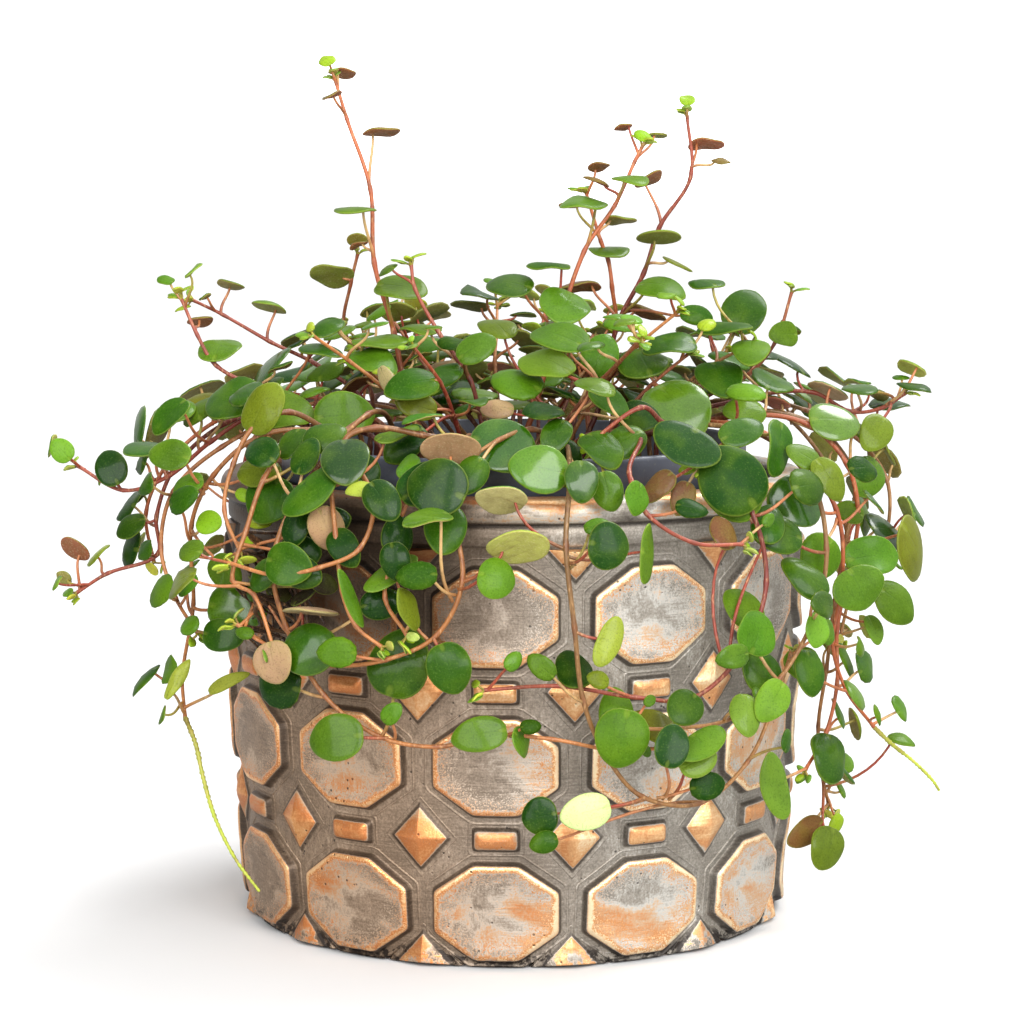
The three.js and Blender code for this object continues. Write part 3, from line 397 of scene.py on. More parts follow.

# Where old stems crowd over the wall they carry dark rootlets, partly real dry roots and stalks and
# partly painted shade, dark lines that fill the shaded hollow under the leaves: within this reach, so
# many to a joint.
TANGLE_SPOTS = ((-54, -64, 98), (-62, -58, 92))
TANGLE_REACH = 15.0
TANGLE_COUNT = 6
TANGLE_STEPS = 7
BAND_RADIUS = 76.5
DRY_AND_SHADE_TINTS = (srgb(40, 28, 20), srgb(70, 50, 32), srgb(112, 84, 54))

# Radius of a stem at its foot and at its tip, by how it grows.
STEM_RADII = {"trail": (0.74, 0.45), "tall": (0.86, 0.42), "shoot": (0.72, 0.42), "fill": (0.7, 0.4)}

# Colours of a stem at its foot, middle and tip.
BARKS = {
    "orange": (srgb(104, 60, 34), srgb(164, 82, 44), srgb(190, 104, 60)),
    "red": (srgb(70, 28, 20), srgb(112, 40, 28), srgb(156, 72, 48)),
    "olive": (srgb(92, 72, 40), srgb(128, 92, 50), srgb(164, 114, 62)),
    "tan": (srgb(98, 68, 38), srgb(150, 96, 50), srgb(190, 122, 66)),
    "brown": (srgb(74, 46, 30), srgb(106, 60, 38), srgb(152, 86, 54)),
}
STEM_BARKS = {
    "tall_shoot_left": "orange", "tall_shoot_middle": "orange", "tall_shoot_right": "red",
    "tall_shoot_inner": "orange", "shoot_right_back": "brown", "shoot_left_low": "red",
    "shoot_left_curl": "red", "shoot_front_red": "red", "shoot_left_inner": "brown",
    "trail_left_heart": "red", "trail_left_far": "red", "trail_left_hook": "tan",
    "trail_left_fold": "tan", "trail_left_side": "orange", "trail_front_arc": "tan",
    "trail_front_left": "tan", "trail_front_loop": "olive", "trail_front_red": "red",
    "trail_front_short": "red", "trail_right_front": "olive", "trail_right_long": "orange",
    "trail_right_low": "olive", "trail_right_spike": "orange", "trail_right_high": "red",
    "trail_right_broad": "olive", "trail_right_side": "olive",
}

# Colours of a blade's upper face and of its underside.
GREENS = {
    "deep": (srgb(18, 54, 0), srgb(112, 116, 50)),
    "dark": (srgb(42, 78, 2), srgb(134, 136, 60)),
    "green": (srgb(72, 106, 14), srgb(150, 152, 70)),
    "fresh": (srgb(80, 116, 20), srgb(162, 172, 76)),
    "bright": (srgb(98, 134, 34), srgb(174, 186, 80)),
    "lime": (srgb(132, 160, 30), srgb(190, 204, 62)),
    "pale": (srgb(200, 214, 136), srgb(210, 218, 142)),
    "bronze": (srgb(112, 84, 40), srgb(150, 82, 52)),
    "tan": (srgb(62, 102, 22), srgb(196, 170, 116)),
    "tanned": (srgb(158, 132, 98), srgb(170, 144, 106)),
    "rose": (srgb(72, 100, 26), srgb(190, 118, 82)),
    "olive": (srgb(96, 106, 18), srgb(136, 132, 50)),
    "yellow": (srgb(142, 152, 50), srgb(174, 170, 84)),
    # Dark brown: withered leaves, and partly painted shade by the wall.
    "withered_and_shade": (srgb(50, 38, 26), srgb(100, 78, 52)),
    "rust": (srgb(104, 66, 40), srgb(122, 74, 46)),
}

# The greens of the listed leaves, by their numbers, and the leaves that shine most.
PLACED_GREENS = {
    "lime": (0, 7, 11, 42), "bronze": (1, 2, 8, 9, 12, 15, 18, 28, 37, 90), "olive": (4, 5, 10, 16, 91, 77),
    "yellow": (60, 82), "tan": (59,), "pale": (88,), "bright": (62, 34, 92), "tanned": (46, 47, 54),
    "deep": (35, 58, 64, 65, 84, 89), "dark": (24, 30, 43, 44, 45, 48, 49, 50, 55, 69, 70, 80),
    "green": (31, 40, 41, 52, 56, 63, 71, 72, 73, 74, 75, 76, 78, 79, 81, 85), "fresh": (53, 61, 87),
}
GLOSSY_LEAVES = (40, 48, 55, 56, 57, 63, 70, 71, 94)

# Greens of the leaves by rule: each has the share of the draw up to which it comes.
TALL_GREENS = (("bronze", 0.55), ("olive", 0.75), ("green", 1.0))
YOUNG_GREENS = (("lime", 0.1), ("bright", 0.35), ("fresh", 0.65), ("green", 1.0))
OLD_GREENS = (
    ("deep", 0.25), ("dark", 0.55), ("green", 0.8), ("fresh", 0.87), ("olive", 0.92), ("tan", 0.97),
    ("rose", 1.0),
)

# Flower spikes: a thread with a bead at every second step.
SPIKE_RADIUS = 0.62
SPIKE_STEP = 0.62
SPIKE_WAIST = 0.72
SPIKE_TINTS = (srgb(150, 140, 60), srgb(176, 190, 60), srgb(176, 190, 60))

# Relief tiles, in millimetres: half the width and half the height of each, and how far along the
# two sides an octagon's corners are cut.
OCTAGON_WIDE = 15.3
OCTAGON_HIGH = 12.3
OCTAGON_CUT = (9.8, 7.0)
BAR_WIDE = 5.6
BAR_HIGH = 2.8
DIAMOND_WIDE = 7.4
DIAMOND_HIGH = 8.2
PATTERN_FOOT = 0.4
TILE_LOWEST = 0.3

# Rings of a tile from its foot to its face: how far inside the foot's outline, and how far off the
# wall. The first of them make the raised line that runs round the recess of each tile.
OCTAGON_RINGS = (
    (-2.4, -0.5), (-2.1, 0.1), (-1.85, 0.3), (-1.6, 0.12), (-1.4, -0.05), (-0.5, -0.05), (-0.2, 0.2),
    (0.15, 1.2), (0.5, 2.0), (0.85, 2.34), (1.4, 2.5), (2.3, 2.42), (3.8, 2.16), (6.0, 1.95), (9.0, 1.88),
)
BAR_RINGS = (
    (-1.5, -0.5), (-1.25, 0.1), (-1.0, 0.22), (-0.8, 0.05), (-0.3, -0.05), (-0.05, 0.5), (0.15, 1.05),
    (0.6, 1.65), (1.2, 2.12), (1.9, 2.38), (2.6, 2.46),
)
DIAMOND_RINGS = (
    (-1.6, -0.5), (-1.3, 0.02), (-1.1, 0.16), (-0.9, 0.0), (-0.4, 0.0), (0.0, 0.2), (0.6, 0.62), (2.0, 1.3),
    (3.6, 2.02), (4.8, 2.42),
)

# Colours of the metal as it wears, from the dark of a recess to rubbed copper; the near-white last stop,
# which the most rubbed edges reach, is partly a painted glint. Then painted light that tints the whole of
# it: lighter and cooler on the right-hand side and darker and browner on the left-hand side, as the light
# falls from the right, and painted shade over the stretch under the overhanging leaves.
PATINA_STOPS = (
    (0.0, srgb(44, 36, 30)), (0.22, srgb(88, 78, 68)), (0.38, srgb(132, 120, 106)),
    (0.46, srgb(162, 149, 134)), (0.55, srgb(200, 189, 175)), (0.63, srgb(204, 166, 130)),
    (0.75, srgb(210, 138, 84)), (0.88, srgb(238, 184, 128)), (1.0, srgb(255, 224, 180)),
)
RIGHT_LIGHT_TINT = (1.02, 1.12, 1.22, 1)
LEFT_SHADE_TINT = (0.95, 0.80, 0.68, 1)
LEAF_SHADE_TINT = (0.22, 0.17, 0.13, 1)
TINT_REACH = 0.035
STREAKS = 0.24
# Where the painted shade under the leaves lies: across, then up, in metres.
LEAF_SHADE_ACROSS = (0.010, -0.024)
LEAF_SHADE_UP = (0.068, 0.086)

# A flat side of a cut tile moves in at this share of the pace of the others.
CUT_PACE = 0.12

# Columns lie this far apart on the flat drawing of the wall, before it is bent round.
COLUMN_SPACING = 40.0

# How finely outlines and the wall are drawn, and the unevenness and chips of the casting.
EDGE_POINTS = 5
CORNER_ROUND = 0.9
PEAK_ROUND = 0.3
WALL_SEGMENTS = 192
WALL_WOBBLE = 0.16
CHIP_HEIGHT = 2.0
CHIP_DEPTH = 1.6
CHIP_RISE = 2.0

# The view, and the light: where each glow comes from, and how bright it is away from there and
# towards it. Places are in metres.
CAMERA_PLACE = (-0.0005, -0.766, 0.192)
CAMERA_DIP = 5.05
CAMERA_SHIFT = 0.08
CAMERA_LENS = 103.69
FLOOR_SIZE = 30.0
FLOOR_HEIGHT = -0.0002
FLOOR_UNSEEN = (0.42, 0.42, 0.42, 1)
SKY_SIDE = (0.30, -0.30, 0.90)
SKY_DIM = 0.26
SKY_BRIGHT = 1.12
SHEEN_SIDE = (0.55, -0.60, 0.58)
SHEEN_DIM = 0.14
SHEEN_BRIGHT = 1.8
BACKDROP_SIDE = (0.0, 0.90, 0.43)
BACKDROP_BRIGHT = 0.9
BEHIND_BRIGHT = 2.0
SUN_SIDE = (0.42, 0.36, 0.83)
SUN_POWER = 2.5
SUN_SPREAD = 26.0
BOX_SIZE = 0.8
BOX_AIM = (0, 0, 0.08)
SOFT_BOXES = (("left_box", (-0.55, -1.1, 0.6), 10.0), ("front_box", (0.5, -1.1, 0.7), 16.0))


def radians(degrees):
    """Worked out in the same order as for the solids, so that every draw ends up alike."""
    return degrees * math.pi / 180


def length_of(vector):
    return math.sqrt(vector[0] * vector[0] + vector[1] * vector[1] + vector[2] * vector[2])


def unit(vector):
    return vector * (1.0 / (length_of(vector) or 1.0))


def outward(spot):
    reach = math.hypot(spot[0], spot[1])
    return np.array([spot[0] / reach, spot[1] / reach, 0.0])


def seeded(*keys):
    """A linear congruential draw from 0 to 1, the same on every run."""
    state = SEED
    for key in keys:
        state = (state * 7919 + key * 104729 + 12345) % 4294967296

    def draw():
        nonlocal state
        state = (state * 1664525 + 1013904223) % 4294967296
        return state / 4294967296

    draw()
    draw()
    return draw


def wall_radius(height):
    share = np.clip(height, 0, WALL_SPREAD_HEIGHT) / WALL_SPREAD_HEIGHT
    return WALL_FOOT_RADIUS + WALL_SPREAD * (1 - (1 - share) ** WALL_CURVE)


class Stem:
    """One stem: its joints from the soil up, and the leaves that hang on them."""

    def __init__(self, name, number, joints, spike):
        self.name = name
        self.number = number
        self.joints = joints
        self.spike = spike
        self.hangs = name.startswith("trail")
        self.upright = "shoot_" in name and not name.startswith("shoot_fill")
        self.leaves = []
        self.branches = []


class Leaf:
    """A blade as a disc, with a stalk from the stem's joint to its seat near the blade's foot."""

    def __init__(self, stem, k, centre, normal, tip, length, width):
        self.stem, self.k, self.centre, self.normal, self.tip = stem, k, centre, normal, tip
        self.length, self.width, self.radius = length, width, length / 2
        self.seat = centre - tip * STALK_SEAT * length
        self.joint = stalk_foot(stem, k)
        across = np.cross(tip, normal)
        spots = [centre]
        for share, count in ((1, RIM_SPOTS), (0.55, INNER_SPOTS)):
            for i in range(count):
                turn = 2 * math.pi * i / count
                reach = self.radius * share
                spots.append(centre + tip * reach * math.cos(turn) + across * reach * math.sin(turn))
        self.spots = np.array(spots)
        self.stalk = samples(self.joint, self.seat)
        self.role = "rule"
        self.index = 0
        self.greens = None


class Room:
    """What is taken: samples of stems and stalks, and the blades' discs."""

    def __init__(self):
        self.places = np.empty((PLACES_HELD, 3))
        self.owners = np.empty(PLACES_HELD, int)
        self.count = 0
        self.centres = np.empty((BLADES_HELD, 3))
        self.normals = np.empty((BLADES_HELD, 3))
        self.radii = np.empty(BLADES_HELD)
        self.spots = np.empty((BLADES_HELD, 1 + RIM_SPOTS + INNER_SPOTS, 3))
        self.blades = 0

    def add_places(self, places, owner):
        end = self.count + len(places)
        self.places[self.count : end] = places
        self.owners[self.count : end] = owner
        self.count = end

    def add_blade(self, leaf):
        i = self.blades
        self.centres[i], self.normals[i], self.radii[i] = leaf.centre, leaf.normal, leaf.radius
        self.spots[i] = leaf.spots
        self.blades += 1


ROOM = Room()
SET_LEAVES = []


def clear_of_pots(spots, gap):
    """Whether each spot is outside the pots, or over the soil, by the gap."""
    spots = np.atleast_2d(spots)
    reach = np.hypot(spots[:, 0], spots[:, 1])
    height = spots[:, 2]
    over_soil = (reach < SOIL_RADIUS - gap) & (height > SOIL_TOP + gap)
    wall = np.where(height < LIP_BOTTOM - gap, wall_radius(height) + RELIEF, LIP_RADIUS)
    by_planter = (height < PLANTER_TOP + gap) & (reach < wall + gap)
    by_rim = (height < RIM_TOP + gap) & (reach < RIM_RADIUS + gap)
    return (height > gap) & (over_soil | ~(by_planter | by_rim))


def samples(start, end):
    gap = length_of(end - start)
    count = max(2, math.ceil(gap / SAMPLE_STEP))
    shares = np.arange(count + 1) / count
    return start + (end - start) * shares[:, None]


def disc_distances(spots, centres, normals, radii):
    """The distance from each spot to each disc."""
    away = spots[:, None, :] - centres[None, :, :]
    height = np.einsum("ijk,jk->ij", away, normals)
    reach = np.sqrt(np.maximum(np.einsum("ijk,ijk->ij", away, away) - height * height, 0))
    return np.hypot(height, np.maximum(reach - radii[None, :], 0))


def push_needed(start, end):
    """The push that would clear a stretch of stem from what it comes too close to, or nothing."""
    spots = samples(start, end)
    clear = clear_of_pots(spots, STEM_TO_POT)
    for i, spot in enumerate(spots):
        share = i / (len(spots) - 1)
        if not clear[i]:
            return share, outward(spot) + np.array([0, 0, 0.6])
        away = spot - ROOM.places[: ROOM.count]
        gaps = np.sqrt(np.einsum("ij,ij->i", away, away))
        close = np.flatnonzero(gaps < STEM_GAP)
        if len(close):
            first = close[0]
            gap = gaps[first]
            return share, away[first] * ((STEM_GAP - gap + 0.3) / max(gap, 0.1))
    return None


def ease(joints):
    """A stem that comes too close to another, or to a pot, is eased aside at the joints concerned."""
    for _ in range(EASE_ROUNDS):
        k = 2
        need = push_needed(joints[1], joints[2])
        while need is None and k < len(joints) - 1:
            k += 1
            need = push_needed(joints[k - 1], joints[k])
        if need is None:
            return
        share, push = need
        joints[k] = joints[k] + push * max(share, LEAST_SHARE)
        if k > 2:
            joints[k - 1] = joints[k - 1] + push * max(1 - share, LEAST_SHARE)


def stalk_foot(stem, k):
    """Where the next leaf leaves a joint: each a step further along the stem than the one before."""
    joint = stem.joints[k]
    ahead = stem.joints[k + 1] if k + 1 < len(stem.joints) else stem.joints[k - 1]
    taken = sum(1 for leaf in stem.leaves if leaf.k == k)
    return joint + unit(ahead - joint) * (STALK_STEP * (taken + 0.5))


def blade_fits(leaf, tight=1.0):
    """Whether a leaf keeps clear. Tight below 1 lets the leaves of a crowded mound lie closer."""
    reach = leaf.seat - leaf.joint
    if reach @ leaf.normal < STALK_LEAN * length_of(reach):
        return False
    if not clear_of_pots(leaf.spots, BLADE_TO_POT).all():
        return False
    if not clear_of_pots(leaf.stalk, STALK_TO_POT).all():
        return False
    n = ROOM.blades
    centres, normals, radii = ROOM.centres[:n], ROOM.normals[:n], ROOM.radii[:n]
    away = np.sqrt(((centres - leaf.centre) ** 2).sum(1))
    near = np.flatnonzero(away < radii + leaf.radius + BLADE_GAP * tight)
    own = (leaf.centre[None], leaf.normal[None], np.array([leaf.radius]))
    if len(near):
        gaps = disc_distances(leaf.spots, centres[near], normals[near], radii[near])
        if (gaps < BLADE_GAP * tight).any():
            return False
        if (disc_distances(ROOM.spots[near].reshape(-1, 3), *own) < BLADE_GAP * tight).any():
            return False
    if n and (disc_distances(leaf.stalk, centres, normals, radii) < STALK_GAP * tight).any():
        return False
    places, owners = ROOM.places[: ROOM.count], ROOM.owners[: ROOM.count]
    bound = leaf.radius + length_of(leaf.joint - leaf.centre) + STEM_GAP
    close = ((places - leaf.centre) ** 2).sum(1) < bound * bound
    places, owners = places[close], owners[close]
    same = owners == leaf.stem.number
    at_joint = same & (np.sqrt(((places - leaf.joint) ** 2).sum(1)) < NODE_REACH)
    if (disc_distances(places[~at_joint], *own) <= STEM_TO_BLADE * tight).any():
        return False
    others = places[~same]
    gaps = ((leaf.stalk[:, None, :] - others[None, :, :]) ** 2).sum(2)
    return not (gaps <= (STEM_GAP * tight) ** 2).any()


def keep_if_clear(leaf, tight=1.0):
    if not blade_fits(leaf, tight):
        return False
    ROOM.add_blade(leaf)
    ROOM.add_places(leaf.stalk, leaf.stem.number)
    leaf.stem.leaves.append(leaf)
    return True


def place_leaf(row, stems, index, greens=None):
    """A listed leaf hangs on the nearest joint that it can, and slides along a line of sight
    from the front where it meets something. One of the finer leaves may shrink as well."""
    x, y, z, length, turn, rise = row
    finer = greens is not None
    width = length * ((0.62 if finer else 0.78) + 0.18 * seeded(1, index)())
    wished = np.array([x, y, z], float)
    normal = np.array([
        math.sin(radians(turn)) * math.cos(radians(rise)),
        -math.cos(radians(turn)) * math.cos(radians(rise)),
        math.sin(radians(rise)),
    ])
    joints = [(length_of(joint - wished), stem, k) for stem in stems for k, joint in enumerate(stem.joints)]
    joints = sorted((row for row in joints if row[2] > 1), key=lambda row: row[0])
    joints = joints[: JOINTS_TRIED * (2 if finer else 1)]
    sight = unit(wished - VIEWPOINT)
    for size in FINER_SIZES if finer else (1.0,):
        for step in range(SLIDES):
            slide = (-1 if step % 2 else 1) * math.ceil(step / 2) * SLIDE_STEP
            centre = wished + sight * slide
            for _, stem, k in joints:
                away = centre - stem.joints[k]
                tip = unit(away - normal * (away @ normal))
                leaf = Leaf(stem, k, centre, normal, tip, length * size, width * size)
                leaf.role, leaf.index, leaf.greens = "placed", index, greens
                if keep_if_clear(leaf, FINER_TIGHT if finer else 1.0):
                    SET_LEAVES.append(seen_from_front(leaf))
                    return


def seen_from_front(leaf):
    """Where a leaf stands in the view from the front: across, up, how far off, and its length."""
    away = leaf.centre - VIEWPOINT
    return away[0] / away[1], away[2] / away[1], away[1], leaf.length


def hides_set_leaf(leaf):
    """Whether a leaf stands before a listed one, as seen from the front."""
    u, v, depth, length = seen_from_front(leaf)
    others = np.array(SET_LEAVES)
    gaps = np.hypot(others[:, 0] - u, others[:, 1] - v) * others[:, 2]
    return ((gaps < HIDING_SHARE * (others[:, 3] + length)) & (depth < others[:, 2])).any()


def grow_leaf(stem, number, k, layer=2, scale=1.0, tight=1.0):
    """One leaf by rule: its stalk leaves to one side of the stem, and the blade faces up and out."""
    joint = stem.joints[k]
    draw = seeded(layer, number, k)
    share = (k - 1) / (len(stem.joints) - 2)
    out = outward(joint)
    around = np.cross(out, UP)
    hanging = stem.hangs and joint[2] < PLANTER_TOP + 6
    full = LONGEST_LEAF * (0.8 if stem.upright else 1) * (1 - 0.52 * share**1.6) * scale
    for attempt in range(TRIES if layer == 2 else FILLER_TRIES):
        length = max(SHORTEST_LEAF, full * (0.72 + 0.36 * draw()) * (1 - 0.012 * attempt))
        side = 1 if (k + (attempt if hanging else 0)) % 2 else -1
        turn = side * radians(35 + 70 * draw()) + (0 if hanging else attempt * GOLDEN_ANGLE)
        reach = out * (math.cos(turn) + (0.35 if hanging else 0.15)) + around * math.sin(turn)
        reach = unit(reach + UP * (0.1 + 0.9 * draw() if hanging else 0.5 + 1.3 * draw()))
        stalk_length = 5 + length * (0.15 + 0.5 * draw())
        sway = np.array([draw() - 0.5, draw() - 0.5, draw() - 0.5]) * 0.85
        normal = unit(UP * (0.55 if hanging else 1) + out * (1 if hanging else 0.34) + sway)
        tip = unit(reach - normal * (reach @ normal))
        centre = joint + reach * stalk_length + tip * (STALK_SEAT * length)
        width = length * (0.76 + 0.2 * draw())
        leaf = Leaf(stem, k, centre, normal, tip, length, width)
        leaf.role = "rule" if layer == 2 else "filler"
        if layer > 2 and (hides_set_leaf(leaf) or not inside_box(leaf)):
            continue
        if keep_if_clear(leaf, tight):
            return True
    return False


def inside_box(leaf):
    """Whether the blade stays inside the frame's box."""
    low, high = np.array(CAD_BOX[0]) / MM, np.array(CAD_BOX[1]) / MM
    return ((leaf.spots > low + BOX_MARGIN) & (leaf.spots < high - BOX_MARGIN)).all()


def stays_bare(stem, joint, layer):
    """Whether a joint takes no finer leaves, or only those of the first round."""
    in_front = joint[2] < PLANTER_TOP and joint[1] < -BARE_DEPTH and joint[0] > -BARE_HALF_WIDTH
    hanging = stem.hangs and not stem.name.startswith("trail_back") and joint[2] < SPARSE_HEIGHT
    bare_top = stem.upright and joint[2] > BARE_HEIGHT
    return in_front or bare_top or (hanging and layer > FILLER_ROUNDS[0][0])


def root_sites():
    """Sites for the stems, as sunflower seeds lie."""
    sites = []
    for i in range(ROOT_SITES):
        radius = ROOT_RING * math.sqrt((i + 0.5) / ROOT_SITES)
        sites.append((radius * math.cos(i * GOLDEN_ANGLE), radius * math.sin(i * GOLDEN_ANGLE)))
    return sites


def take_site(sites, near):
    away = [math.hypot(site[0] - near[0], site[1] - near[1]) for site in sites]
    return sites.pop(away.index(min(away)))


def plant(name, number, site, route, spike=()):
    collar = SOIL_TOP + (TRAIL_COLLAR if name.startswith("trail") else COLLAR)
    joints = [np.array([*site, SOIL_TOP - ROOT_DEPTH]), np.array([*site, collar])]
    joints += [np.array(spot, float) for spot in route]
    ease(joints)
    stem = Stem(name, number, joints, [np.array(spot, float) for spot in spike])
    path = joints[1:] + stem.spike
    for start, end in zip(path, path[1:]):
        ROOM.add_places(samples(start, end), number)
    return stem


def branch_off(stems, number, parent_name, k, route):
    """A side branch grows from a joint of a stem, and is part of that stem's piece."""
    parent = next(stem for stem in stems if stem.name == parent_name)
    joints = [parent.joints[k], *(np.array(spot, float) for spot in route)]
    ease(joints)
    branch = Stem(parent_name, number, joints, [])
    for start, end in zip(joints, joints[1:]):
        ROOM.add_places(samples(start, end), number)
    parent.branches.append(branch)
    return branch


def hanging_route(start, draw):
    count = 4 + math.floor(draw() * 5)
    drift = (draw() - 0.5) * 0.16
    route = []
    for k, (radius, height) in enumerate(HANG[:count]):
        angle = start + drift * k + (draw() - 0.5) * 0.05
        reach = radius + (draw() - 0.5) * 4
        route.append((reach * math.cos(angle), reach * math.sin(angle), height + (draw() - 0.5) * 4))
    return route


def short_route(site, draw):
    place = np.array([*site, SOIL_TOP + COLLAR])
    out = outward(place)
    lean = 0.2 + 0.45 * draw() + 0.35 * (math.hypot(*site) / ROOT_RING)
    heading = unit(out * lean + UP)
    route = []
    for _ in range(3 + math.floor(draw() * 2)):
        sway = np.array([draw() - 0.5, draw() - 0.5, 0]) * 0.5
        heading = unit(heading + out * 0.16 + sway)
        place = place + heading * (10 + 4 * draw())
        route.append(place)
    return route


def grown_stems():
    """All stems and leaves: first those of the solids, in the same order, then the finer ones."""
    sites = root_sites()
    stems = []
    for name, route in ROUTES.items():
        site = take_site(sites, route[0])
        stems.append(plant(name, len(stems), site, route, SPIKES.get(name, ())))
    for i in range(BACK_TRAILS):
        turn = radians(BACK_ARC[0] + (BACK_ARC[1] - BACK_ARC[0]) * (i + 0.5) / BACK_TRAILS)
        site = take_site(sites, (ROOT_RING * math.cos(turn), ROOT_RING * math.sin(turn)))
        route = hanging_route(math.atan2(site[1], site[0]), seeded(3, i))
        stems.append(plant(f"trail_back_{i + 1}", len(stems), site, route))
    for i in range(SHORT_STEMS):
        site = sites.pop(0)
        stems.append(plant(f"shoot_fill_{i + 1}", len(stems), site, short_route(site, seeded(4, i))))
    for index, row in enumerate(PLACED_LEAVES):
        place_leaf(row, stems, index)
    for number, stem in enumerate(stems):
        for k in range(2 + number % 2, len(stem.joints), 2):
            grow_leaf(stem, number, k)
    branches = [branch_off(stems, len(stems) + i, *row) for i, row in enumerate(BRANCHES)]
    growing = stems + branches
    for index, (*row, greens) in enumerate(EXTRA_LEAVES):
        place_leaf(row, growing, len(PLACED_LEAVES) + index, greens)
    for layer, scale, tight in FILLER_ROUNDS:
        for stem in growing:
            for k in range(2, len(stem.joints)):
                if not stays_bare(stem, stem.joints[k], layer):
                    grow_leaf(stem, stem.number, k, layer, scale, tight)
    for stem in growing:
        for leaf in stem.leaves:
            finish_size(leaf)
    return stems


def finish_size(leaf):
    """The size at which a leaf is drawn. Listed ones have their own shares along and across,
    and one by rule that stands before them, or before the bare front, is a smaller one."""
    along, across = LEAF_SHARES.get(leaf.index, (1.0, 1.0)) if leaf.role == "placed" else (1.0, 1.0)
    if leaf.role == "rule":
        x, y, z = leaf.centre
        in_front = z < PLANTER_TOP and y < -BARE_DEPTH and x > -BARE_HALF_WIDTH
        if in_front or hides_set_leaf(leaf):
            along, across = (0.62, 0.5) if in_front else (0.7, 0.62)
            leaf.centre = leaf.seat + leaf.tip * (STALK_SEAT * leaf.length * along)
    leaf.length, leaf.width = leaf.length * along, leaf.width * across
    leaf.seat = leaf.centre - leaf.tip * (STALK_SEAT * leaf.length)


class NodeWork:
    """Adds nodes to a tree. An input that is a socket is linked, and any other is set."""

    def __init__(self, tree):
        self.tree = tree

    def add(self, kind, inputs=None, **settings):
        node = self.tree.nodes.new(kind)
        for name, value in settings.items():
            setattr(node, name, value)
        for key, value in (inputs or {}).items():
            if isinstance(value, bpy.types.NodeSocket):
                self.tree.links.new(value, node.inputs[key])
            else:
                node.inputs[key].default_value = value
        return node

    def math(self, operation, first, second=0.0, third=0.0, clamp=False):
        inputs = {0: first, 1: second, 2: third}
        return self.add("ShaderNodeMath", inputs, operation=operation, use_clamp=clamp).outputs[0]

    def map_range(self, value, low, high, to_low=0.0, to_high=1.0):
        inputs = {0: value, 1: low, 2: high, 3: to_low, 4: to_high}
        return self.add("ShaderNodeMapRange", inputs, interpolation_type="SMOOTHSTEP").outputs[0]

    def vector_math(self, operation, first, second=(0.0, 0.0, 0.0)):
        return self.add("ShaderNodeVectorMath", {0: first, 1: second}, operation=operation).outputs[0]

    def split(self, vector):
        return self.add("ShaderNodeSeparateXYZ", {0: vector}).outputs

    def join(self, x=0.0, y=0.0, z=0.0):
        return self.add("ShaderNodeCombineXYZ", {0: x, 1: y, 2: z}).outputs[0]

    def mix(self, share, first, second):
        inputs = {0: share, 6: first, 7: second}
        return self.add("ShaderNodeMix", inputs, data_type="RGBA").outputs[2]

    def ramp(self, share, *stops):
        """A colour along a row of stops, each with its place and colour."""
        node = self.add("ShaderNodeValToRGB", {"Fac": share})
        for element, (spot, colour) in zip(node.color_ramp.elements, (stops[0], stops[-1])):
            element.position, element.color = spot, colour
        for spot, colour in stops[1:-1]:
            node.color_ramp.elements.new(spot).color = colour
        return node.outputs["Color"]

    def noise(self, place, scale, detail=2.0, roughness=0.5, distortion=0.0):
        inputs = {"Vector": place, "Scale": scale, "Detail": detail, "Roughness": roughness}
        return self.add("ShaderNodeTexNoise", {**inputs, "Distortion": distortion}).outputs[0]

    def named(self, name, data_type="FLOAT"):
        """A stored value, in a geometry tree."""
        return self.add("GeometryNodeInputNamedAttribute", {"Name": name}, data_type=data_type).outputs[0]

    def stored(self, name, output="Fac"):
        """A stored value, in a material."""
        return self.add("ShaderNodeAttribute", attribute_name=name).outputs[output]

    def place(self, scale=(1.0, 1.0, 1.0)):
        """Object coordinates, stretched where a pattern runs one way."""
        spot = self.add("ShaderNodeTexCoord").outputs["Object"]
        return self.add("ShaderNodeMapping", {"Vector": spot, "Scale": scale}).outputs[0]


def geometry_tree(name, sizes):
    """A geometry tree with named inputs for its sizes, and the sockets of those inputs."""
    tree = bpy.data.node_groups.new(name, "GeometryNodeTree")
    tree.interface.new_socket("Geometry", in_out="INPUT", socket_type="NodeSocketGeometry")
    for label, kind in sizes.items():
        tree.interface.new_socket(label, in_out="INPUT", socket_type="NodeSocket" + kind)
    tree.interface.new_socket("Geometry", in_out="OUTPUT", socket_type="NodeSocketGeometry")
    work = NodeWork(tree)
    return work, work.add("NodeGroupInput").outputs


def run_tree(piece, tree, **sizes):
    """Runs a geometry tree on a piece and keeps the result as its plain mesh."""
    modifier = piece.modifiers.new("made", "NODES")
    modifier.node_group = tree
    for item in tree.interface.items_tree:
        label = item.name.lower().replace(" ", "_")
        if item.in_out == "INPUT" and label in sizes:
            modifier[item.identifier] = sizes[label]
    depsgraph = bpy.context.evaluated_depsgraph_get()
    finished = piece.evaluated_get(depsgraph)
    mesh = bpy.data.meshes.new_from_object(finished, preserve_all_data_layers=True, depsgraph=depsgraph)
    piece.modifiers.remove(modifier)
    piece.data = mesh


def new_piece(name, spots, faces=(), edges=()):
    mesh = bpy.data.meshes.new(name)
    mesh.from_pydata([tuple(spot) for spot in spots], edges, faces)
    piece = bpy.data.objects.new(name, mesh)
    bpy.context.scene.collection.objects.link(piece)
    return piece


def store(piece, name, kind, values):
    """Stores one value for each of the piece's points."""
    field = {"FLOAT_VECTOR": "vector", "FLOAT_COLOR": "color"}.get(kind, "value")
    attribute = piece.data.attributes.new(name, kind, "POINT")
    numbers = bool if kind == "BOOLEAN" else np.float32
    attribute.data.foreach_set(field, np.asarray(values, numbers).ravel())


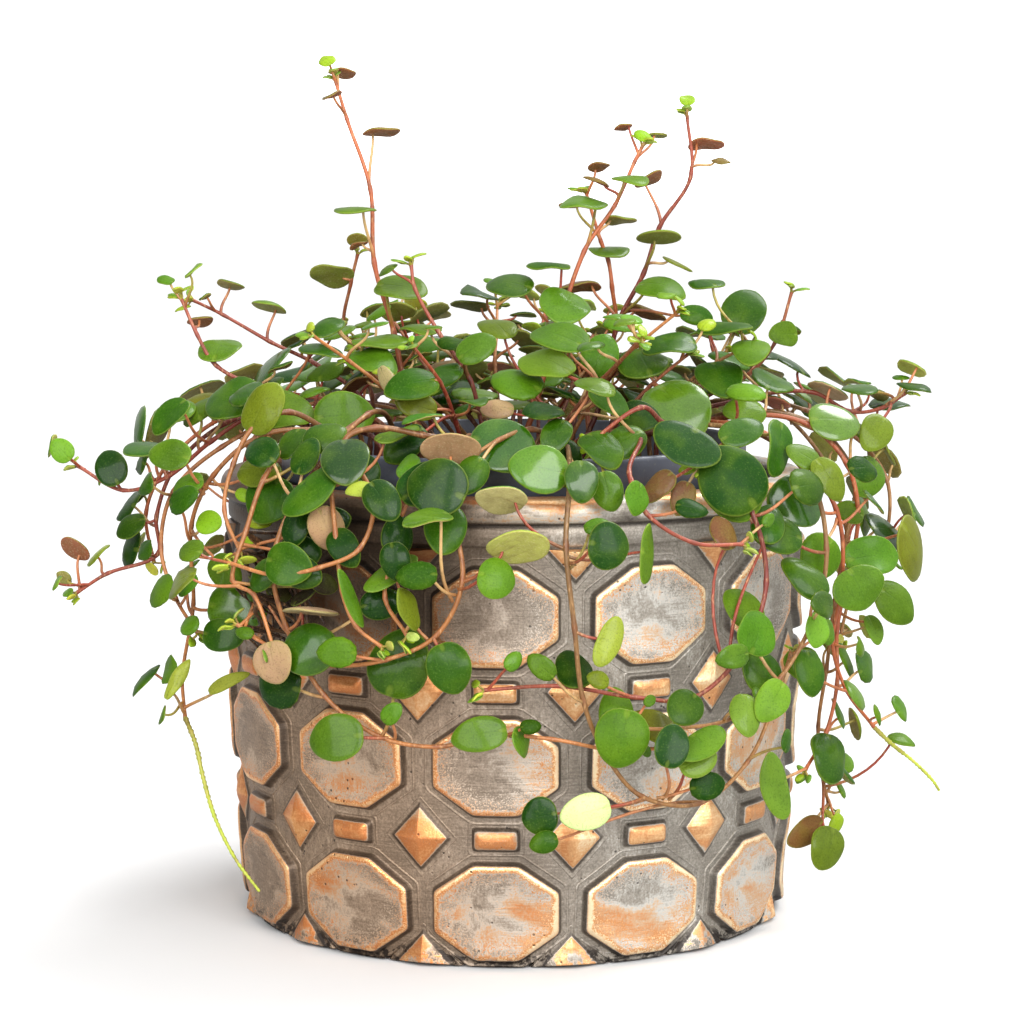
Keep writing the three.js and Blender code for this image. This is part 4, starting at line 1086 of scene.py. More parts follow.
def new_material(name, **constants):
    """A material with its shader, and the constants that are the same all over its surface."""
    material = bpy.data.materials.new(name)
    material.use_nodes = True
    work = NodeWork(material.node_tree)
    shader = material.node_tree.nodes["Principled BSDF"]
    for label, value in constants.items():
        shader.inputs[label.replace("_", " ").title().replace("Ior", "IOR")].default_value = value
    return material, work, shader


def connect(work, shader, **values):
    for label, socket in values.items():
        work.tree.links.new(socket, shader.inputs[label.replace("_", " ").title()])


def bumped(work, height, strength, depth):
    return work.add("ShaderNodeBump", {"Height": height, "Strength": strength, "Distance": depth}).outputs[0]


def shader_group(name, inputs, outputs):
    """A shader node group with named inputs and outputs. Returns its work, inputs and output node."""
    tree = bpy.data.node_groups.new(name, "ShaderNodeTree")
    for label, (kind, value) in inputs.items():
        socket = tree.interface.new_socket(label, in_out="INPUT", socket_type="NodeSocket" + kind)
        socket.default_value = value
    for label, kind in outputs.items():
        tree.interface.new_socket(label, in_out="OUTPUT", socket_type="NodeSocket" + kind)
    work = NodeWork(tree)
    return work, work.add("NodeGroupInput").outputs, work.add("NodeGroupOutput").inputs


def use_group(work, group, **values):
    inputs = {label.replace("_", " ").capitalize(): value for label, value in values.items()}
    node = work.add("ShaderNodeGroup", node_tree=group)
    for label, value in inputs.items():
        if isinstance(value, bpy.types.NodeSocket):
            work.tree.links.new(value, node.inputs[label])
        else:
            node.inputs[label].default_value = value
    return node.outputs


def blade_pattern(name, segments, rings):
    """One blade, a unit wide and long to each side, that stands for all. It is a thick lens."""
    spots = [(0.0, 0.0, 1.0)]
    marks = [(0.0, 0.0, 1.0)]
    for reach, lift in rings:
        for i in range(segments):
            turn = math.tau * i / segments
            x = reach * math.sin(turn)
            y = reach * math.cos(turn)
            notch = BLADE_NOTCH * math.exp(-(((turn - math.pi) / NOTCH_SPREAD) ** 2))
            from_tip = min(turn, math.tau - turn)
            point = BLADE_POINT * math.exp(-((from_tip / POINT_SPREAD) ** 2))
            spots.append((x * (1 - BLADE_TAPER * y), y + (notch + point) * reach, lift))
            marks.append((x, y, lift))
    spots.append((0.0, 0.0, -1.0))
    marks.append((0.0, 0.0, -1.0))
    last = len(spots) - 1
    faces = []
    for i in range(segments):
        j = (i + 1) % segments
        faces.append((0, 1 + j, 1 + i))
        for ring in range(len(rings) - 1):
            a, b = 1 + ring * segments, 1 + (ring + 1) * segments
            faces.append((a + i, a + j, b + j, b + i))
        under = last - segments
        faces.append((last, under + i, under + j))
    pattern = new_piece(name, spots, faces)
    store(pattern, "blade_mark", "FLOAT_VECTOR", marks)
    return pattern


def leafy_stem_tree():
    """Turns a stem's lines into round stems and stalks, and puts a bent blade on each leaf point."""
    sizes = {
        "Fine blade": "Object", "Plain blade": "Object", "Sides": "Int", "Stem finish": "Material",
        "Upper finish": "Material", "Under finish": "Material",
    }
    work, given = geometry_tree("leafy stem", sizes)
    parts = work.add(
        "GeometryNodeSeparateGeometry",
        {"Geometry": given["Geometry"], "Selection": work.named("is_leaf", "BOOLEAN")},
    )
    lines = work.add("GeometryNodeMeshToCurve", {"Mesh": parts.outputs["Inverted"]}).outputs[0]
    section = work.add("GeometryNodeCurvePrimitiveCircle", {"Resolution": given["Sides"], "Radius": 1.0})
    tubes = work.add(
        "GeometryNodeCurveToMesh",
        {
            "Curve": lines, "Profile Curve": section.outputs[0], "Scale": work.named("thick"),
            "Fill Caps": True,
        },
    ).outputs[0]
    tubes = work.add("GeometryNodeSetShadeSmooth", {"Geometry": tubes}).outputs[0]
    tubes = work.add("GeometryNodeSetMaterial", {"Geometry": tubes, "Material": given["Stem finish"]})
    turn = work.named("blade_turn", "FLOAT_VECTOR")
    rotation = work.add("FunctionNodeEulerToRotation", {0: turn}).outputs[0]
    fine = work.named("is_fine", "BOOLEAN")
    plain = work.add("FunctionNodeBooleanMath", {0: fine}, operation="NOT").outputs[0]
    both = work.add("GeometryNodeJoinGeometry")
    for label, chosen in (("Fine blade", fine), ("Plain blade", plain)):
        blade = work.add("GeometryNodeObjectInfo", {"Object": given[label]}).outputs["Geometry"]
        blades = work.add(
            "GeometryNodeInstanceOnPoints",
            {
                "Points": parts.outputs["Selection"], "Selection": chosen, "Instance": blade,
                "Rotation": rotation, "Scale": work.named("blade_size", "FLOAT_VECTOR"),
            },
        )
        work.tree.links.new(blades.outputs[0], both.inputs[0])
    blades = work.add("GeometryNodeRealizeInstances", {0: both.outputs[0]}).outputs[0]
    mark = work.split(work.named("blade_mark", "FLOAT_VECTOR"))
    form = work.split(work.named("blade_form", "FLOAT_VECTOR"))
    x, y = mark["X"], mark["Y"]
    squares = work.math("ADD", work.math("MULTIPLY", x, x), work.math("MULTIPLY", y, y))
    ahead = work.math("MAXIMUM", y, 0.0)
    lift = work.math("MULTIPLY", form["X"], work.math("MULTIPLY", squares, -1.0))
    lift = work.math("ADD", lift, work.math("MULTIPLY", form["Y"], work.math("MULTIPLY", x, x)))
    lift = work.math("SUBTRACT", lift, work.math("MULTIPLY", form["Z"], work.math("MULTIPLY", ahead, ahead)))
    wave = work.math("SINE", work.math("MULTIPLY_ADD", y, 3.1, work.named("blade_seed")))
    rim_wave = work.math("MULTIPLY", work.math("MULTIPLY", wave, x), work.named("blade_wave"))
    lift = work.math("ADD", lift, rim_wave)
    moved = work.add(
        "FunctionNodeRotateVector",
        {0: work.join(z=lift), 1: work.add("FunctionNodeEulerToRotation", {0: turn}).outputs[0]},
    ).outputs[0]
    blades = work.add("GeometryNodeSetPosition", {"Geometry": blades, "Offset": moved}).outputs[0]
    blades = work.add("GeometryNodeSetShadeSmooth", {"Geometry": blades}).outputs[0]
    blades = work.add("GeometryNodeSetMaterial", {"Geometry": blades, "Material": given["Upper finish"]})
    under = work.add("FunctionNodeCompare", {0: mark["Z"], 1: -0.3}, operation="LESS_THAN").outputs[0]
    blades = work.add(
        "GeometryNodeSetMaterial",
        {"Geometry": blades.outputs[0], "Selection": under, "Material": given["Under finish"]},
    )
    whole = work.add("GeometryNodeJoinGeometry")
    work.tree.links.new(tubes.outputs[0], whole.inputs[0])
    work.tree.links.new(blades.outputs[0], whole.inputs[0])
    work.add("NodeGroupOutput", {0: whole.outputs[0]})
    return work.tree


def blended(colours, share):
    """A colour along a row of colours."""
    spot = min(max(share, 0.0), 1.0) * (len(colours) - 1)
    k = min(int(spot), len(colours) - 2)
    return tuple(a + (b - a) * (spot - k) for a, b in zip(colours[k], colours[k + 1]))


def smooth_path(joints, step):
    """A smooth line through the joints, with each spot's distance from the nearest joint."""
    joints = np.array(joints)
    padded = np.vstack([2 * joints[0] - joints[1], joints, 2 * joints[-1] - joints[-2]])
    spots, gaps = [], []
    for k in range(1, len(padded) - 2):
        before, a, b, after = padded[k - 1 : k + 3]
        length = length_of(b - a)
        count = max(2, round(length / step))
        pull_a = (b - before) / (length_of(b - a) + length_of(a - before)) * length
        pull_b = (after - a) / (length_of(after - b) + length_of(b - a)) * length
        for i in range(count):
            t = i / count
            spot = (
                (2 * t**3 - 3 * t**2 + 1) * a + (t**3 - 2 * t**2 + t) * pull_a
                + (3 * t**2 - 2 * t**3) * b + (t**3 - t**2) * pull_b
            )
            spots.append(spot)
            gaps.append(min(t, 1 - t) * length)
    spots.append(joints[-1])
    gaps.append(0.0)
    return np.array(spots), np.array(gaps)


class Skeleton:
    """The lines and leaf points of one stem, with what the geometry tree needs at each."""

    COLUMNS = {
        "is_leaf": ("BOOLEAN", False), "is_fine": ("BOOLEAN", False), "thick": ("FLOAT", 0.0),
        "bark": ("FLOAT_COLOR", (0, 0, 0, 1)),
        "blade_turn": ("FLOAT_VECTOR", (0, 0, 0)), "blade_size": ("FLOAT_VECTOR", (0, 0, 0)),
        "blade_form": ("FLOAT_VECTOR", (0, 0, 0)), "blade_seed": ("FLOAT", 0.0),
        "blade_wave": ("FLOAT", 0.0),
        "upper_tint": ("FLOAT_COLOR", (0, 0, 0, 1)), "under_tint": ("FLOAT_COLOR", (0, 0, 0, 1)),
        "gloss": ("FLOAT", 0.0),
    }

    def __init__(self):
        self.spots, self.edges = [], []
        self.values = {name: [] for name in self.COLUMNS}

    def add_spot(self, spot, **values):
        self.spots.append(np.asarray(spot) * MM)
        for name, (_, default) in self.COLUMNS.items():
            self.values[name].append(values.get(name, default))

    def add_line(self, spots, radii, tints):
        first = len(self.spots)
        for spot, radius, tint in zip(spots, radii, tints):
            self.add_spot(spot, thick=radius * MM, bark=tint)
        self.edges += [(i, i + 1) for i in range(first, len(self.spots) - 1)]

    def add_blade(self, centre, tip, normal, length, width, colours, draw, gloss, fine=False):
        across = np.cross(tip, normal)
        turn = Matrix((across, tip, normal)).transposed().to_euler()
        half = length / 2 * MM
        thickness = BLADE_THICKNESS * (0.5 + 0.5 * length / LONGEST_LEAF)
        upper, under = (tuple(c * (0.86 + 0.28 * draw()) for c in colour[:3]) + (1.0,) for colour in colours)
        self.add_spot(
            centre, is_leaf=True, is_fine=fine, blade_turn=tuple(turn),
            blade_size=(width / 2 * MM, half, thickness / 2 * MM),
            blade_form=(
                half * (0.05 + 0.15 * draw()), half * 0.4 * max(draw() - 0.5, -0.1), half * 0.2 * draw(),
            ),
            blade_seed=6.283 * draw(), blade_wave=half * 0.12 * draw(),
            upper_tint=upper, under_tint=under, gloss=gloss,
        )

    def piece(self, name):
        made = new_piece(name, self.spots, edges=self.edges)
        for label, (kind, _) in self.COLUMNS.items():
            store(made, label, kind, self.values[label])
        return made


def stalk_path(leaf):
    """A stalk's bow: out from the stem, then up into the underside of the blade."""
    reach = leaf.seat - leaf.joint
    length = length_of(reach)
    ahead = leaf.stem.joints[min(leaf.k + 1, len(leaf.stem.joints) - 1)] - leaf.stem.joints[leaf.k]
    end = leaf.seat - leaf.normal * STALK_SINK
    first = leaf.joint + unit(unit(reach) + 0.45 * unit(ahead)) * length * 0.38
    second = end - unit(leaf.normal + 0.25 * unit(reach)) * length * 0.36
    shares = np.linspace(0, 1, STALK_POINTS)[:, None]
    return (
        (1 - shares) ** 3 * leaf.joint + 3 * shares * (1 - shares) ** 2 * first
        + 3 * shares**2 * (1 - shares) * second + shares**3 * end
    )


def drawn_from(marks, chance):
    """The first name whose mark is above the chance."""
    return next(label for label, mark in marks if chance < mark)


def leaf_colours(leaf, draw):
    """The greens of a leaf, from its list if it is a listed one, or by age and draw."""
    if leaf.greens:
        return GREENS[leaf.greens]
    if leaf.role == "placed":
        for label, indices in PLACED_GREENS.items():
            if leaf.index in indices:
                return GREENS[label]
        return GREENS["green" if draw() < 0.6 else "dark"]
    share = leaf.k / (len(leaf.stem.joints) - 1)
    chance = draw()
    if leaf.stem.name.startswith("tall"):
        return GREENS[drawn_from(TALL_GREENS, chance)]
    if share > 0.85 and leaf.length < 10:
        return GREENS[drawn_from(YOUNG_GREENS, chance)]
    return GREENS[drawn_from(OLD_GREENS, chance)]


def gloss_of(leaf, chance):
    """How far a blade shines: a few large ones most, young and small ones least."""
    if leaf.role == "placed":
        return 0.7 + 0.3 * chance if leaf.index in GLOSSY_LEAVES else 0.28 * chance
    return 0.1 + 0.55 * chance if leaf.length > 13 else 0.35 * chance


def stalk_tints(stem_tint, leaf, draw):
    """A stalk ends in cream, tan, red-brown or olive, by draw, and takes the stem's colour at its foot."""
    tops = (srgb(200, 164, 108), srgb(186, 116, 72), srgb(150, 62, 42), srgb(154, 142, 62))
    marks = (0.35, 0.65, 0.85, 1.0)
    chance = draw()
    top = tops[next(i for i, mark in enumerate(marks) if chance <= mark)]
    return [blended((stem_tint, top, top), share) for share in np.linspace(0, 1, STALK_POINTS)]


def bark_of(stem):
    if stem.name in STEM_BARKS:
        return BARKS[STEM_BARKS[stem.name]]
    draw = seeded(31, stem.number)
    return BARKS[("brown", "olive", "tan", "red", "brown")[int(draw() * 5)]]


def kind_of(stem):
    for kind in ("trail", "tall", "shoot_fill"):
        if stem.name.startswith(kind):
            return kind.replace("shoot_", "")
    return "shoot"


def add_buds(skeleton, stem, draw):
    """A tuft of young blades at the stem's tip."""
    tip = stem.joints[-1]
    heading = unit(tip - stem.joints[-2])
    for i in range(BUD_COUNT):
        turn = i * GOLDEN_ANGLE + draw()
        side = unit(np.cross(heading, UP + np.array([0.3, 0.1, 0])))
        other = np.cross(heading, side)
        reach = unit(side * math.cos(turn) + other * math.sin(turn) + heading * (0.5 + 0.8 * draw()))
        length = 2.2 + 2.6 * draw()
        normal = unit(heading + UP * 0.8 - reach * 0.6)
        along = unit(reach - normal * (reach @ normal))
        centre = tip + reach * (0.8 + 0.5 * length)
        colours = GREENS["lime" if draw() < 0.6 else "bright"]
        skeleton.add_blade(centre, along, normal, length, length * 0.62, colours, draw, 0.4)
        line = [tip - heading * 0.4, tip + reach * 0.6, centre - along * 0.28 * length - normal * 0.1]
        tint = blended((bark_of(stem)[2], colours[0]), 0.6)
        skeleton.add_line(line, [0.36, 0.3, 0.25], [tint] * 3)


def add_spike(skeleton, stem, draw):
    """A slender flower spike, beaded with tiny florets."""
    spots, _ = smooth_path([stem.joints[-1], *stem.spike], SPIKE_STEP)
    radii = []
    for i in range(len(spots)):
        share = i / (len(spots) - 1)
        bead = 1.0 if i % 2 else SPIKE_WAIST
        radii.append(SPIKE_RADIUS * bead * (0.9 + 0.35 * draw()) * (1.1 - 0.45 * share))
    tints = [blended(SPIKE_TINTS, i / len(spots)) for i in range(len(spots))]
    skeleton.add_line(spots, radii, tints)



def add_rootlets_and_shade(skeleton, stem, draw):
    """Dark rootlets and dry stalks hang by the wall where the old stems crowd over it; they are partly
    painted shade, dark lines that fill the shaded hollow under the leaves.
    """
    for joint in stem.joints[2:]:
        near = min(length_of(joint - np.array(spot)) for spot in TANGLE_SPOTS)
        if near > TANGLE_REACH:
            continue
        for _ in range(TANGLE_COUNT):
            heading = unit(np.array([draw() - 0.5, 0.5, -0.3 - 0.5 * draw()]))
            spot, line = joint, [joint]
            for _ in range(TANGLE_STEPS):
                curl = np.array([draw() - 0.5, draw() - 0.5, draw() - 0.6])
                heading = unit(heading + 0.9 * curl)
                spot = spot + heading * (2.2 + 1.6 * draw())
                reach = math.hypot(spot[0], spot[1])
                held = min(max(reach, BAND_RADIUS + 1.2), max(BAND_RADIUS + 3.5, reach - 3.0)) / reach
                spot = spot * np.array([held, held, 1.0])
                line.append(spot)
            thick = 0.34 + 0.3 * draw()
            tint = blended(DRY_AND_SHADE_TINTS, draw() ** 1.5)
            radii = [thick * (1 - 0.5 * i / TANGLE_STEPS) for i in range(len(line))]
            skeleton.add_line(line, radii, [tint] * len(line))


def add_stem(skeleton, stem):
    draw = seeded(30, stem.number)
    spots, gaps = smooth_path(stem.joints, STEM_STEP)
    foot, tip = STEM_RADII[kind_of(stem)]
    shares = np.linspace(0, 1, len(spots))
    swell = 1 + NODE_SWELL * np.exp(-((gaps / NODE_SPREAD) ** 2))
    radii = (foot + (tip - foot) * shares) * swell
    bark = bark_of(stem)
    tints = []
    for share, gap in zip(shares, gaps):
        tint = blended(bark, share)
        tints.append(blended((tint, BARKS["red"][1]), 0.4 * math.exp(-((gap / 1.4) ** 2))))
    skeleton.add_line(spots, radii, tints)
    for leaf in stem.leaves:
        share = leaf.k / (len(stem.joints) - 1)
        path = stalk_path(leaf)
        young = 1 - 0.25 * (1 - leaf.length / LONGEST_LEAF)
        thick = STALK_RADIUS * young * (1.25 - 0.35 * np.linspace(0, 1, STALK_POINTS))
        skeleton.add_line(path, thick, stalk_tints(blended(bark, share), leaf, draw))
        colours = leaf_colours(leaf, draw)
        gloss = gloss_of(leaf, draw())
        skeleton.add_blade(
            leaf.centre, leaf.tip, leaf.normal, leaf.length, leaf.width, colours, draw, gloss,
            fine=leaf.role == "placed",
        )
    if stem.spike:
        add_spike(skeleton, stem, draw)
    else:
        add_buds(skeleton, stem, draw)
    add_rootlets_and_shade(skeleton, stem, seeded(32, stem.number))


def leaf_marks_group():
    """Masks of a blade: its rim, its veins, which fan out from the stalk, and the stalk's seat."""
    outputs = {"Rim": "Float", "Vein": "Float", "Seat": "Float"}
    work, _, made = shader_group("leaf marks", {}, outputs)
    mark = work.split(work.stored("blade_mark", "Vector"))
    x, y = mark["X"], mark["Y"]
    across, along = work.math("MULTIPLY", x, x), work.math("MULTIPLY", y, y)
    reach = work.math("SQRT", work.math("ADD", across, along))
    spread = work.math("SQRT", work.math("MAXIMUM", work.math("SUBTRACT", 1.05, along), 0.02))
    lane = work.math("ABSOLUTE", work.math("DIVIDE", x, spread))
    middle = work.map_range(lane, 0.07, 0.0)
    side = work.map_range(work.math("ABSOLUTE", work.math("SUBTRACT", lane, 0.42)), 0.06, 0.0)
    vein = work.math("MAXIMUM", middle, work.math("MULTIPLY", side, 0.5))
    vein = work.math("MULTIPLY", vein, work.map_range(y, 0.7, -0.7))
    from_seat = work.math("ADD", y, 0.84)
    from_seat = work.math("MULTIPLY", from_seat, from_seat)
    seat = work.math("MULTIPLY_ADD", across, 2.5, from_seat)
    work.tree.links.new(work.map_range(reach, 0.935, 0.985), made["Rim"])
    work.tree.links.new(vein, made["Vein"])
    work.tree.links.new(work.map_range(seat, 0.05, 0.0), made["Seat"])
    return work.tree


def upper_finish(leaf_marks):
    """The upper face of a blade: smooth and satin, lighter in patches, with faint veins and rim."""
    material, work, shader = new_material(
        "leaf upper face", subsurface_weight=0.06, subsurface_radius=(0.6, 1.0, 0.2),
        subsurface_scale=0.001, specular_ior_level=0.09, coat_roughness=0.15,
    )
    marks = use_group(work, leaf_marks)
    place = work.place()
    gloss = work.stored("gloss")
    tint = work.stored("upper_tint", "Color")
    cloud = work.noise(place, 130.0, 2.0, 0.5)
    tint = work.mix(work.map_range(cloud, 0.45, 0.7, 0.0, 0.09), tint, srgb(140, 172, 34))
    tint = work.mix(work.map_range(cloud, 0.5, 0.3, 0.0, 0.18), tint, srgb(12, 40, 0))
    grain = work.noise(place, 2300.0, 2.0, 0.6)
    tint = work.mix(work.map_range(grain, 0.54, 0.74, 0.0, 0.11), tint, srgb(140, 170, 84))
    tint = work.mix(work.map_range(grain, 0.48, 0.3, 0.0, 0.30), tint, srgb(10, 34, 0))
    tint = work.mix(work.math("MULTIPLY", marks["Vein"], 0.14), tint, srgb(20, 56, 6))
    tint = work.mix(work.math("MULTIPLY", marks["Rim"], 0.24), tint, srgb(164, 184, 74))
    tint = work.mix(work.math("MULTIPLY", marks["Seat"], 0.14), tint, srgb(170, 188, 70))
    roughness = work.math("MULTIPLY_ADD", gloss, -0.20, 0.50)
    roughness = work.math("MULTIPLY_ADD", work.math("SUBTRACT", grain, 0.5), 0.3, roughness)
    height = work.math("MULTIPLY_ADD", grain, 0.25, work.math("MULTIPLY", cloud, 3.0))
    height = work.math("SUBTRACT", height, work.math("MULTIPLY", marks["Vein"], 0.35))
    height = work.math("SUBTRACT", height, work.math("MULTIPLY", marks["Seat"], 1.0))
    connect(
        work, shader, base_color=tint, roughness=roughness,
        coat_weight=work.math("MULTIPLY", gloss, 0.8), normal=bumped(work, height, 0.6, 0.0003),
    )
    return material


def under_finish(leaf_marks):
    """The underside of a blade: matt and paler, with fine veins."""
    material, work, shader = new_material(
        "leaf underside", subsurface_weight=0.1, subsurface_radius=(1.0, 0.8, 0.3),
        subsurface_scale=0.0012, specular_ior_level=0.3,
    )
    marks = use_group(work, leaf_marks)
    place = work.place()
    tint = work.stored("under_tint", "Color")
    cloud = work.noise(place, 420.0, 4.0, 0.65)
    tint = work.mix(work.map_range(cloud, 0.4, 0.7, 0.0, 0.35), tint, srgb(120, 96, 52))
    grain = work.noise(place, 2100.0, 2.0, 0.6)
    tint = work.mix(work.map_range(grain, 0.5, 0.75, 0.0, 0.3), tint, srgb(224, 214, 170))
    tint = work.mix(work.math("MULTIPLY", marks["Vein"], 0.32), tint, srgb(104, 80, 44))
    height = work.math("MULTIPLY", grain, 0.5)
    height = work.math("SUBTRACT", height, work.math("MULTIPLY", marks["Vein"], 0.6))
    connect(
        work, shader, base_color=tint, roughness=work.math("MULTIPLY_ADD", cloud, 0.3, 0.45),
        normal=bumped(work, height, 0.5, 0.00018),
    )
    return material


def stem_finish():
    """Stems, stalks and spikes: waxy, in the colour stored along them, with fine length-wise streaks."""
    material, work, shader = new_material(
        "stem", subsurface_weight=0.06, subsurface_radius=(1.0, 0.5, 0.3), subsurface_scale=0.0008,
        specular_ior_level=0.5,
    )
    tint = work.stored("bark", "Color")
    place = work.place()
    cloud = work.noise(place, 330.0, 3.0, 0.6)
    tint = work.mix(work.map_range(cloud, 0.48, 0.7, 0.0, 0.5), tint, srgb(84, 42, 26))
    streak = work.noise(work.place(scale=(1.0, 1.0, 0.25)), 1500.0, 2.0, 0.6)
    tint = work.mix(work.map_range(streak, 0.52, 0.75, 0.0, 0.4), tint, srgb(222, 176, 122))
    connect(
        work, shader, base_color=tint, roughness=work.math("MULTIPLY_ADD", cloud, 0.3, 0.3),
        normal=bumped(work, streak, 0.4, 0.00015),
    )
    return material


def keep_in_frame(piece):
    """The finest tips end at the frame's box."""
    spots = np.empty(len(piece.data.vertices) * 3, np.float32)
    piece.data.vertices.foreach_get("co", spots)
    low, high = (np.array(corner, np.float32) for corner in CAD_BOX)
    piece.data.vertices.foreach_set("co", np.clip(spots.reshape(-1, 3), low, high).ravel())
    piece.data.update()


def dress_plant(stems):
    """Each leafy stem of the frame gets a finer piece of the same form."""
    tree = leafy_stem_tree()
    patterns = {
        "fine_blade": blade_pattern("fine_blade", *FINE_BLADE),
        "plain_blade": blade_pattern("plain_blade", *PLAIN_BLADE),
    }
    marks = leaf_marks_group()
    finishes = {
        "stem_finish": stem_finish(), "upper_finish": upper_finish(marks),
        "under_finish": under_finish(marks),
    }
    for stem in stems:
        skeleton = Skeleton()
        for part in (stem, *stem.branches):
            add_stem(skeleton, part)
        piece = skeleton.piece(f"leafy_{stem.name}")
        run_tree(piece, tree, sides=STALK_SIDES, **patterns, **finishes)
        keep_in_frame(piece)
        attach(piece, "root")
        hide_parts(stem.name)
    for pattern in patterns.values():
        bpy.data.objects.remove(pattern)


def polygon_sides(corners, flat_pace):
    """The sides of an outline that turns left: for each, the way it faces, its distance, and its
    pace when the outline is drawn in. A flat side of a cut tile stays nearly where it is."""
    sides = []
    for (x, y), (u, v) in zip(corners, corners[1:] + corners[:1]):
        length = math.hypot(u - x, v - y)
        facing = ((v - y) / length, (x - u) / length)
        pace = flat_pace if abs(facing[1]) > 0.99 else 1.0
        sides.append((facing, x * facing[0] + y * facing[1], pace))
    return sides


def drawn_in(sides, inset):
    """The outline's corners with every side moved in."""
    corners = []
    for (a, p, pace), (b, q, next_pace) in zip(sides[-1:] + sides[:-1], sides):
        p, q = p - inset * pace, q - inset * next_pace
        cross = a[0] * b[1] - a[1] * b[0]
        corners.append(((p * b[1] - q * a[1]) / cross, (q * a[0] - p * b[0]) / cross))
    return corners


def rounded_ring(corners, rounding):
    """An outline as points: each corner cut by a small bow, and each side in equal steps."""
    ring = []
    count = len(corners)
    for i, corner in enumerate(corners):
        before, after = corners[i - 1], corners[(i + 1) % count]
        corner, before, after = (np.array(spot) for spot in (corner, before, after))
        to_before, to_after = before - corner, after - corner
        cut = min(rounding, 0.35 * math.hypot(*to_before), 0.35 * math.hypot(*to_after))
        start = corner + to_before / math.hypot(*to_before) * cut
        end = corner + to_after / math.hypot(*to_after) * cut
        ring += [start, (start + 2 * corner + end) / 4, end]
        far = after - to_after / math.hypot(*to_after) * cut
        ring += [end + (far - end) * (k + 1) / (EDGE_POINTS + 1) for k in range(EDGE_POINTS)]
    return ring


def tile_pattern(name, corners, rings, rounding, flat_pace):
    """A flat tile: across, up and off the wall, with how far each point is inside the foot, and how
    far across."""
    sides = polygon_sides(corners, flat_pace)
    middle = np.mean(np.array(drawn_in(sides, rings[-1][0])), axis=0)
    spots, insets, faces = [], [], []
    for inset, off in rings:
        for u, v in rounded_ring(drawn_in(sides, inset), rounding):
            spots.append((u, v, off))
            insets.append(inset)
    count = len(spots) // len(rings)
    for ring in range(len(rings) - 1):
        for i in range(count):
            a, b = ring * count + i, ring * count + (i + 1) % count
            faces.append((a, b, b + count, a + count))
    spots.append((*middle, rings[-1][1] + 0.05))
    insets.append(rings[-1][0] + 2.0)
    last = (len(rings) - 1) * count
    faces += [(last + i, last + (i + 1) % count, len(spots) - 1) for i in range(count)]
    pattern = new_piece(name, spots, faces)
    store(pattern, "inset", "FLOAT", insets)
    store(pattern, "across", "FLOAT", [u for u, _, _ in spots])
    return pattern


def octagon_corners():
    w, h, (c, d) = OCTAGON_WIDE, OCTAGON_HIGH, OCTAGON_CUT
    lower = [(-w, d - h), (c - w, -h), (w - c, -h), (w, d - h)]
    return lower + [(-u, -v) for u, v in lower]


def wall_tree():
    """Sets one tile on each of its places, and bends them all onto the planter's wall."""
    sizes = {"Tile": "Object", "Turn": "Float", "Wobble": "Float", "Finish": "Material"}
    work, given = geometry_tree("tiles on the wall", sizes)
    tile = work.add("GeometryNodeObjectInfo", {"Object": given["Tile"]}).outputs["Geometry"]
    tiles = work.add("GeometryNodeInstanceOnPoints", {"Points": given["Geometry"], "Instance": tile})
    tiles = work.add("GeometryNodeRealizeInstances", {0: tiles.outputs[0]}).outputs[0]
    flat = work.split(work.add("GeometryNodeInputPosition").outputs[0])
    across = work.named("across")
    height = work.math("MAXIMUM", flat["Y"], TILE_LOWEST)
    share = work.math("DIVIDE", height, WALL_SPREAD_HEIGHT, clamp=True)
    left = work.math("POWER", work.math("SUBTRACT", 1.0, share), WALL_CURVE)
    radius = work.math("MULTIPLY_ADD", work.math("SUBTRACT", 1.0, left), WALL_SPREAD, WALL_FOOT_RADIUS)
    column = work.math("SUBTRACT", flat["X"], across)
    column = work.math("DIVIDE", column, COLUMN_SPACING)
    angle = work.math("MULTIPLY", column, math.tau / COLUMNS)
    angle = work.math("ADD", angle, work.math("DIVIDE", across, radius))
    angle = work.math("ADD", angle, given["Turn"])
    uneven = work.add("ShaderNodeTexNoise", {"Vector": work.join(flat["X"], flat["Y"]), "Scale": 0.35})
    off = work.math("MULTIPLY", work.math("SUBTRACT", uneven.outputs[0], 0.5), given["Wobble"])
    off = work.math("ADD", flat["Z"], work.math("MULTIPLY", off, 2.0))
    reach = work.math("MULTIPLY", work.math("ADD", radius, off), MM)
    x = work.math("MULTIPLY", reach, work.math("SINE", angle))
    y = work.math("MULTIPLY", work.math("MULTIPLY", reach, work.math("COSINE", angle)), -1.0)
    place = work.join(x, y, work.math("MULTIPLY", height, MM))
    tiles = work.add("GeometryNodeSetPosition", {"Geometry": tiles, "Position": place}).outputs[0]
    tiles = work.add("GeometryNodeSetShadeSmooth", {"Geometry": tiles}).outputs[0]
    tiles = work.add("GeometryNodeSetMaterial", {"Geometry": tiles, "Material": given["Finish"]})
    work.add("NodeGroupOutput", {0: tiles.outputs[0]})
    return work.tree


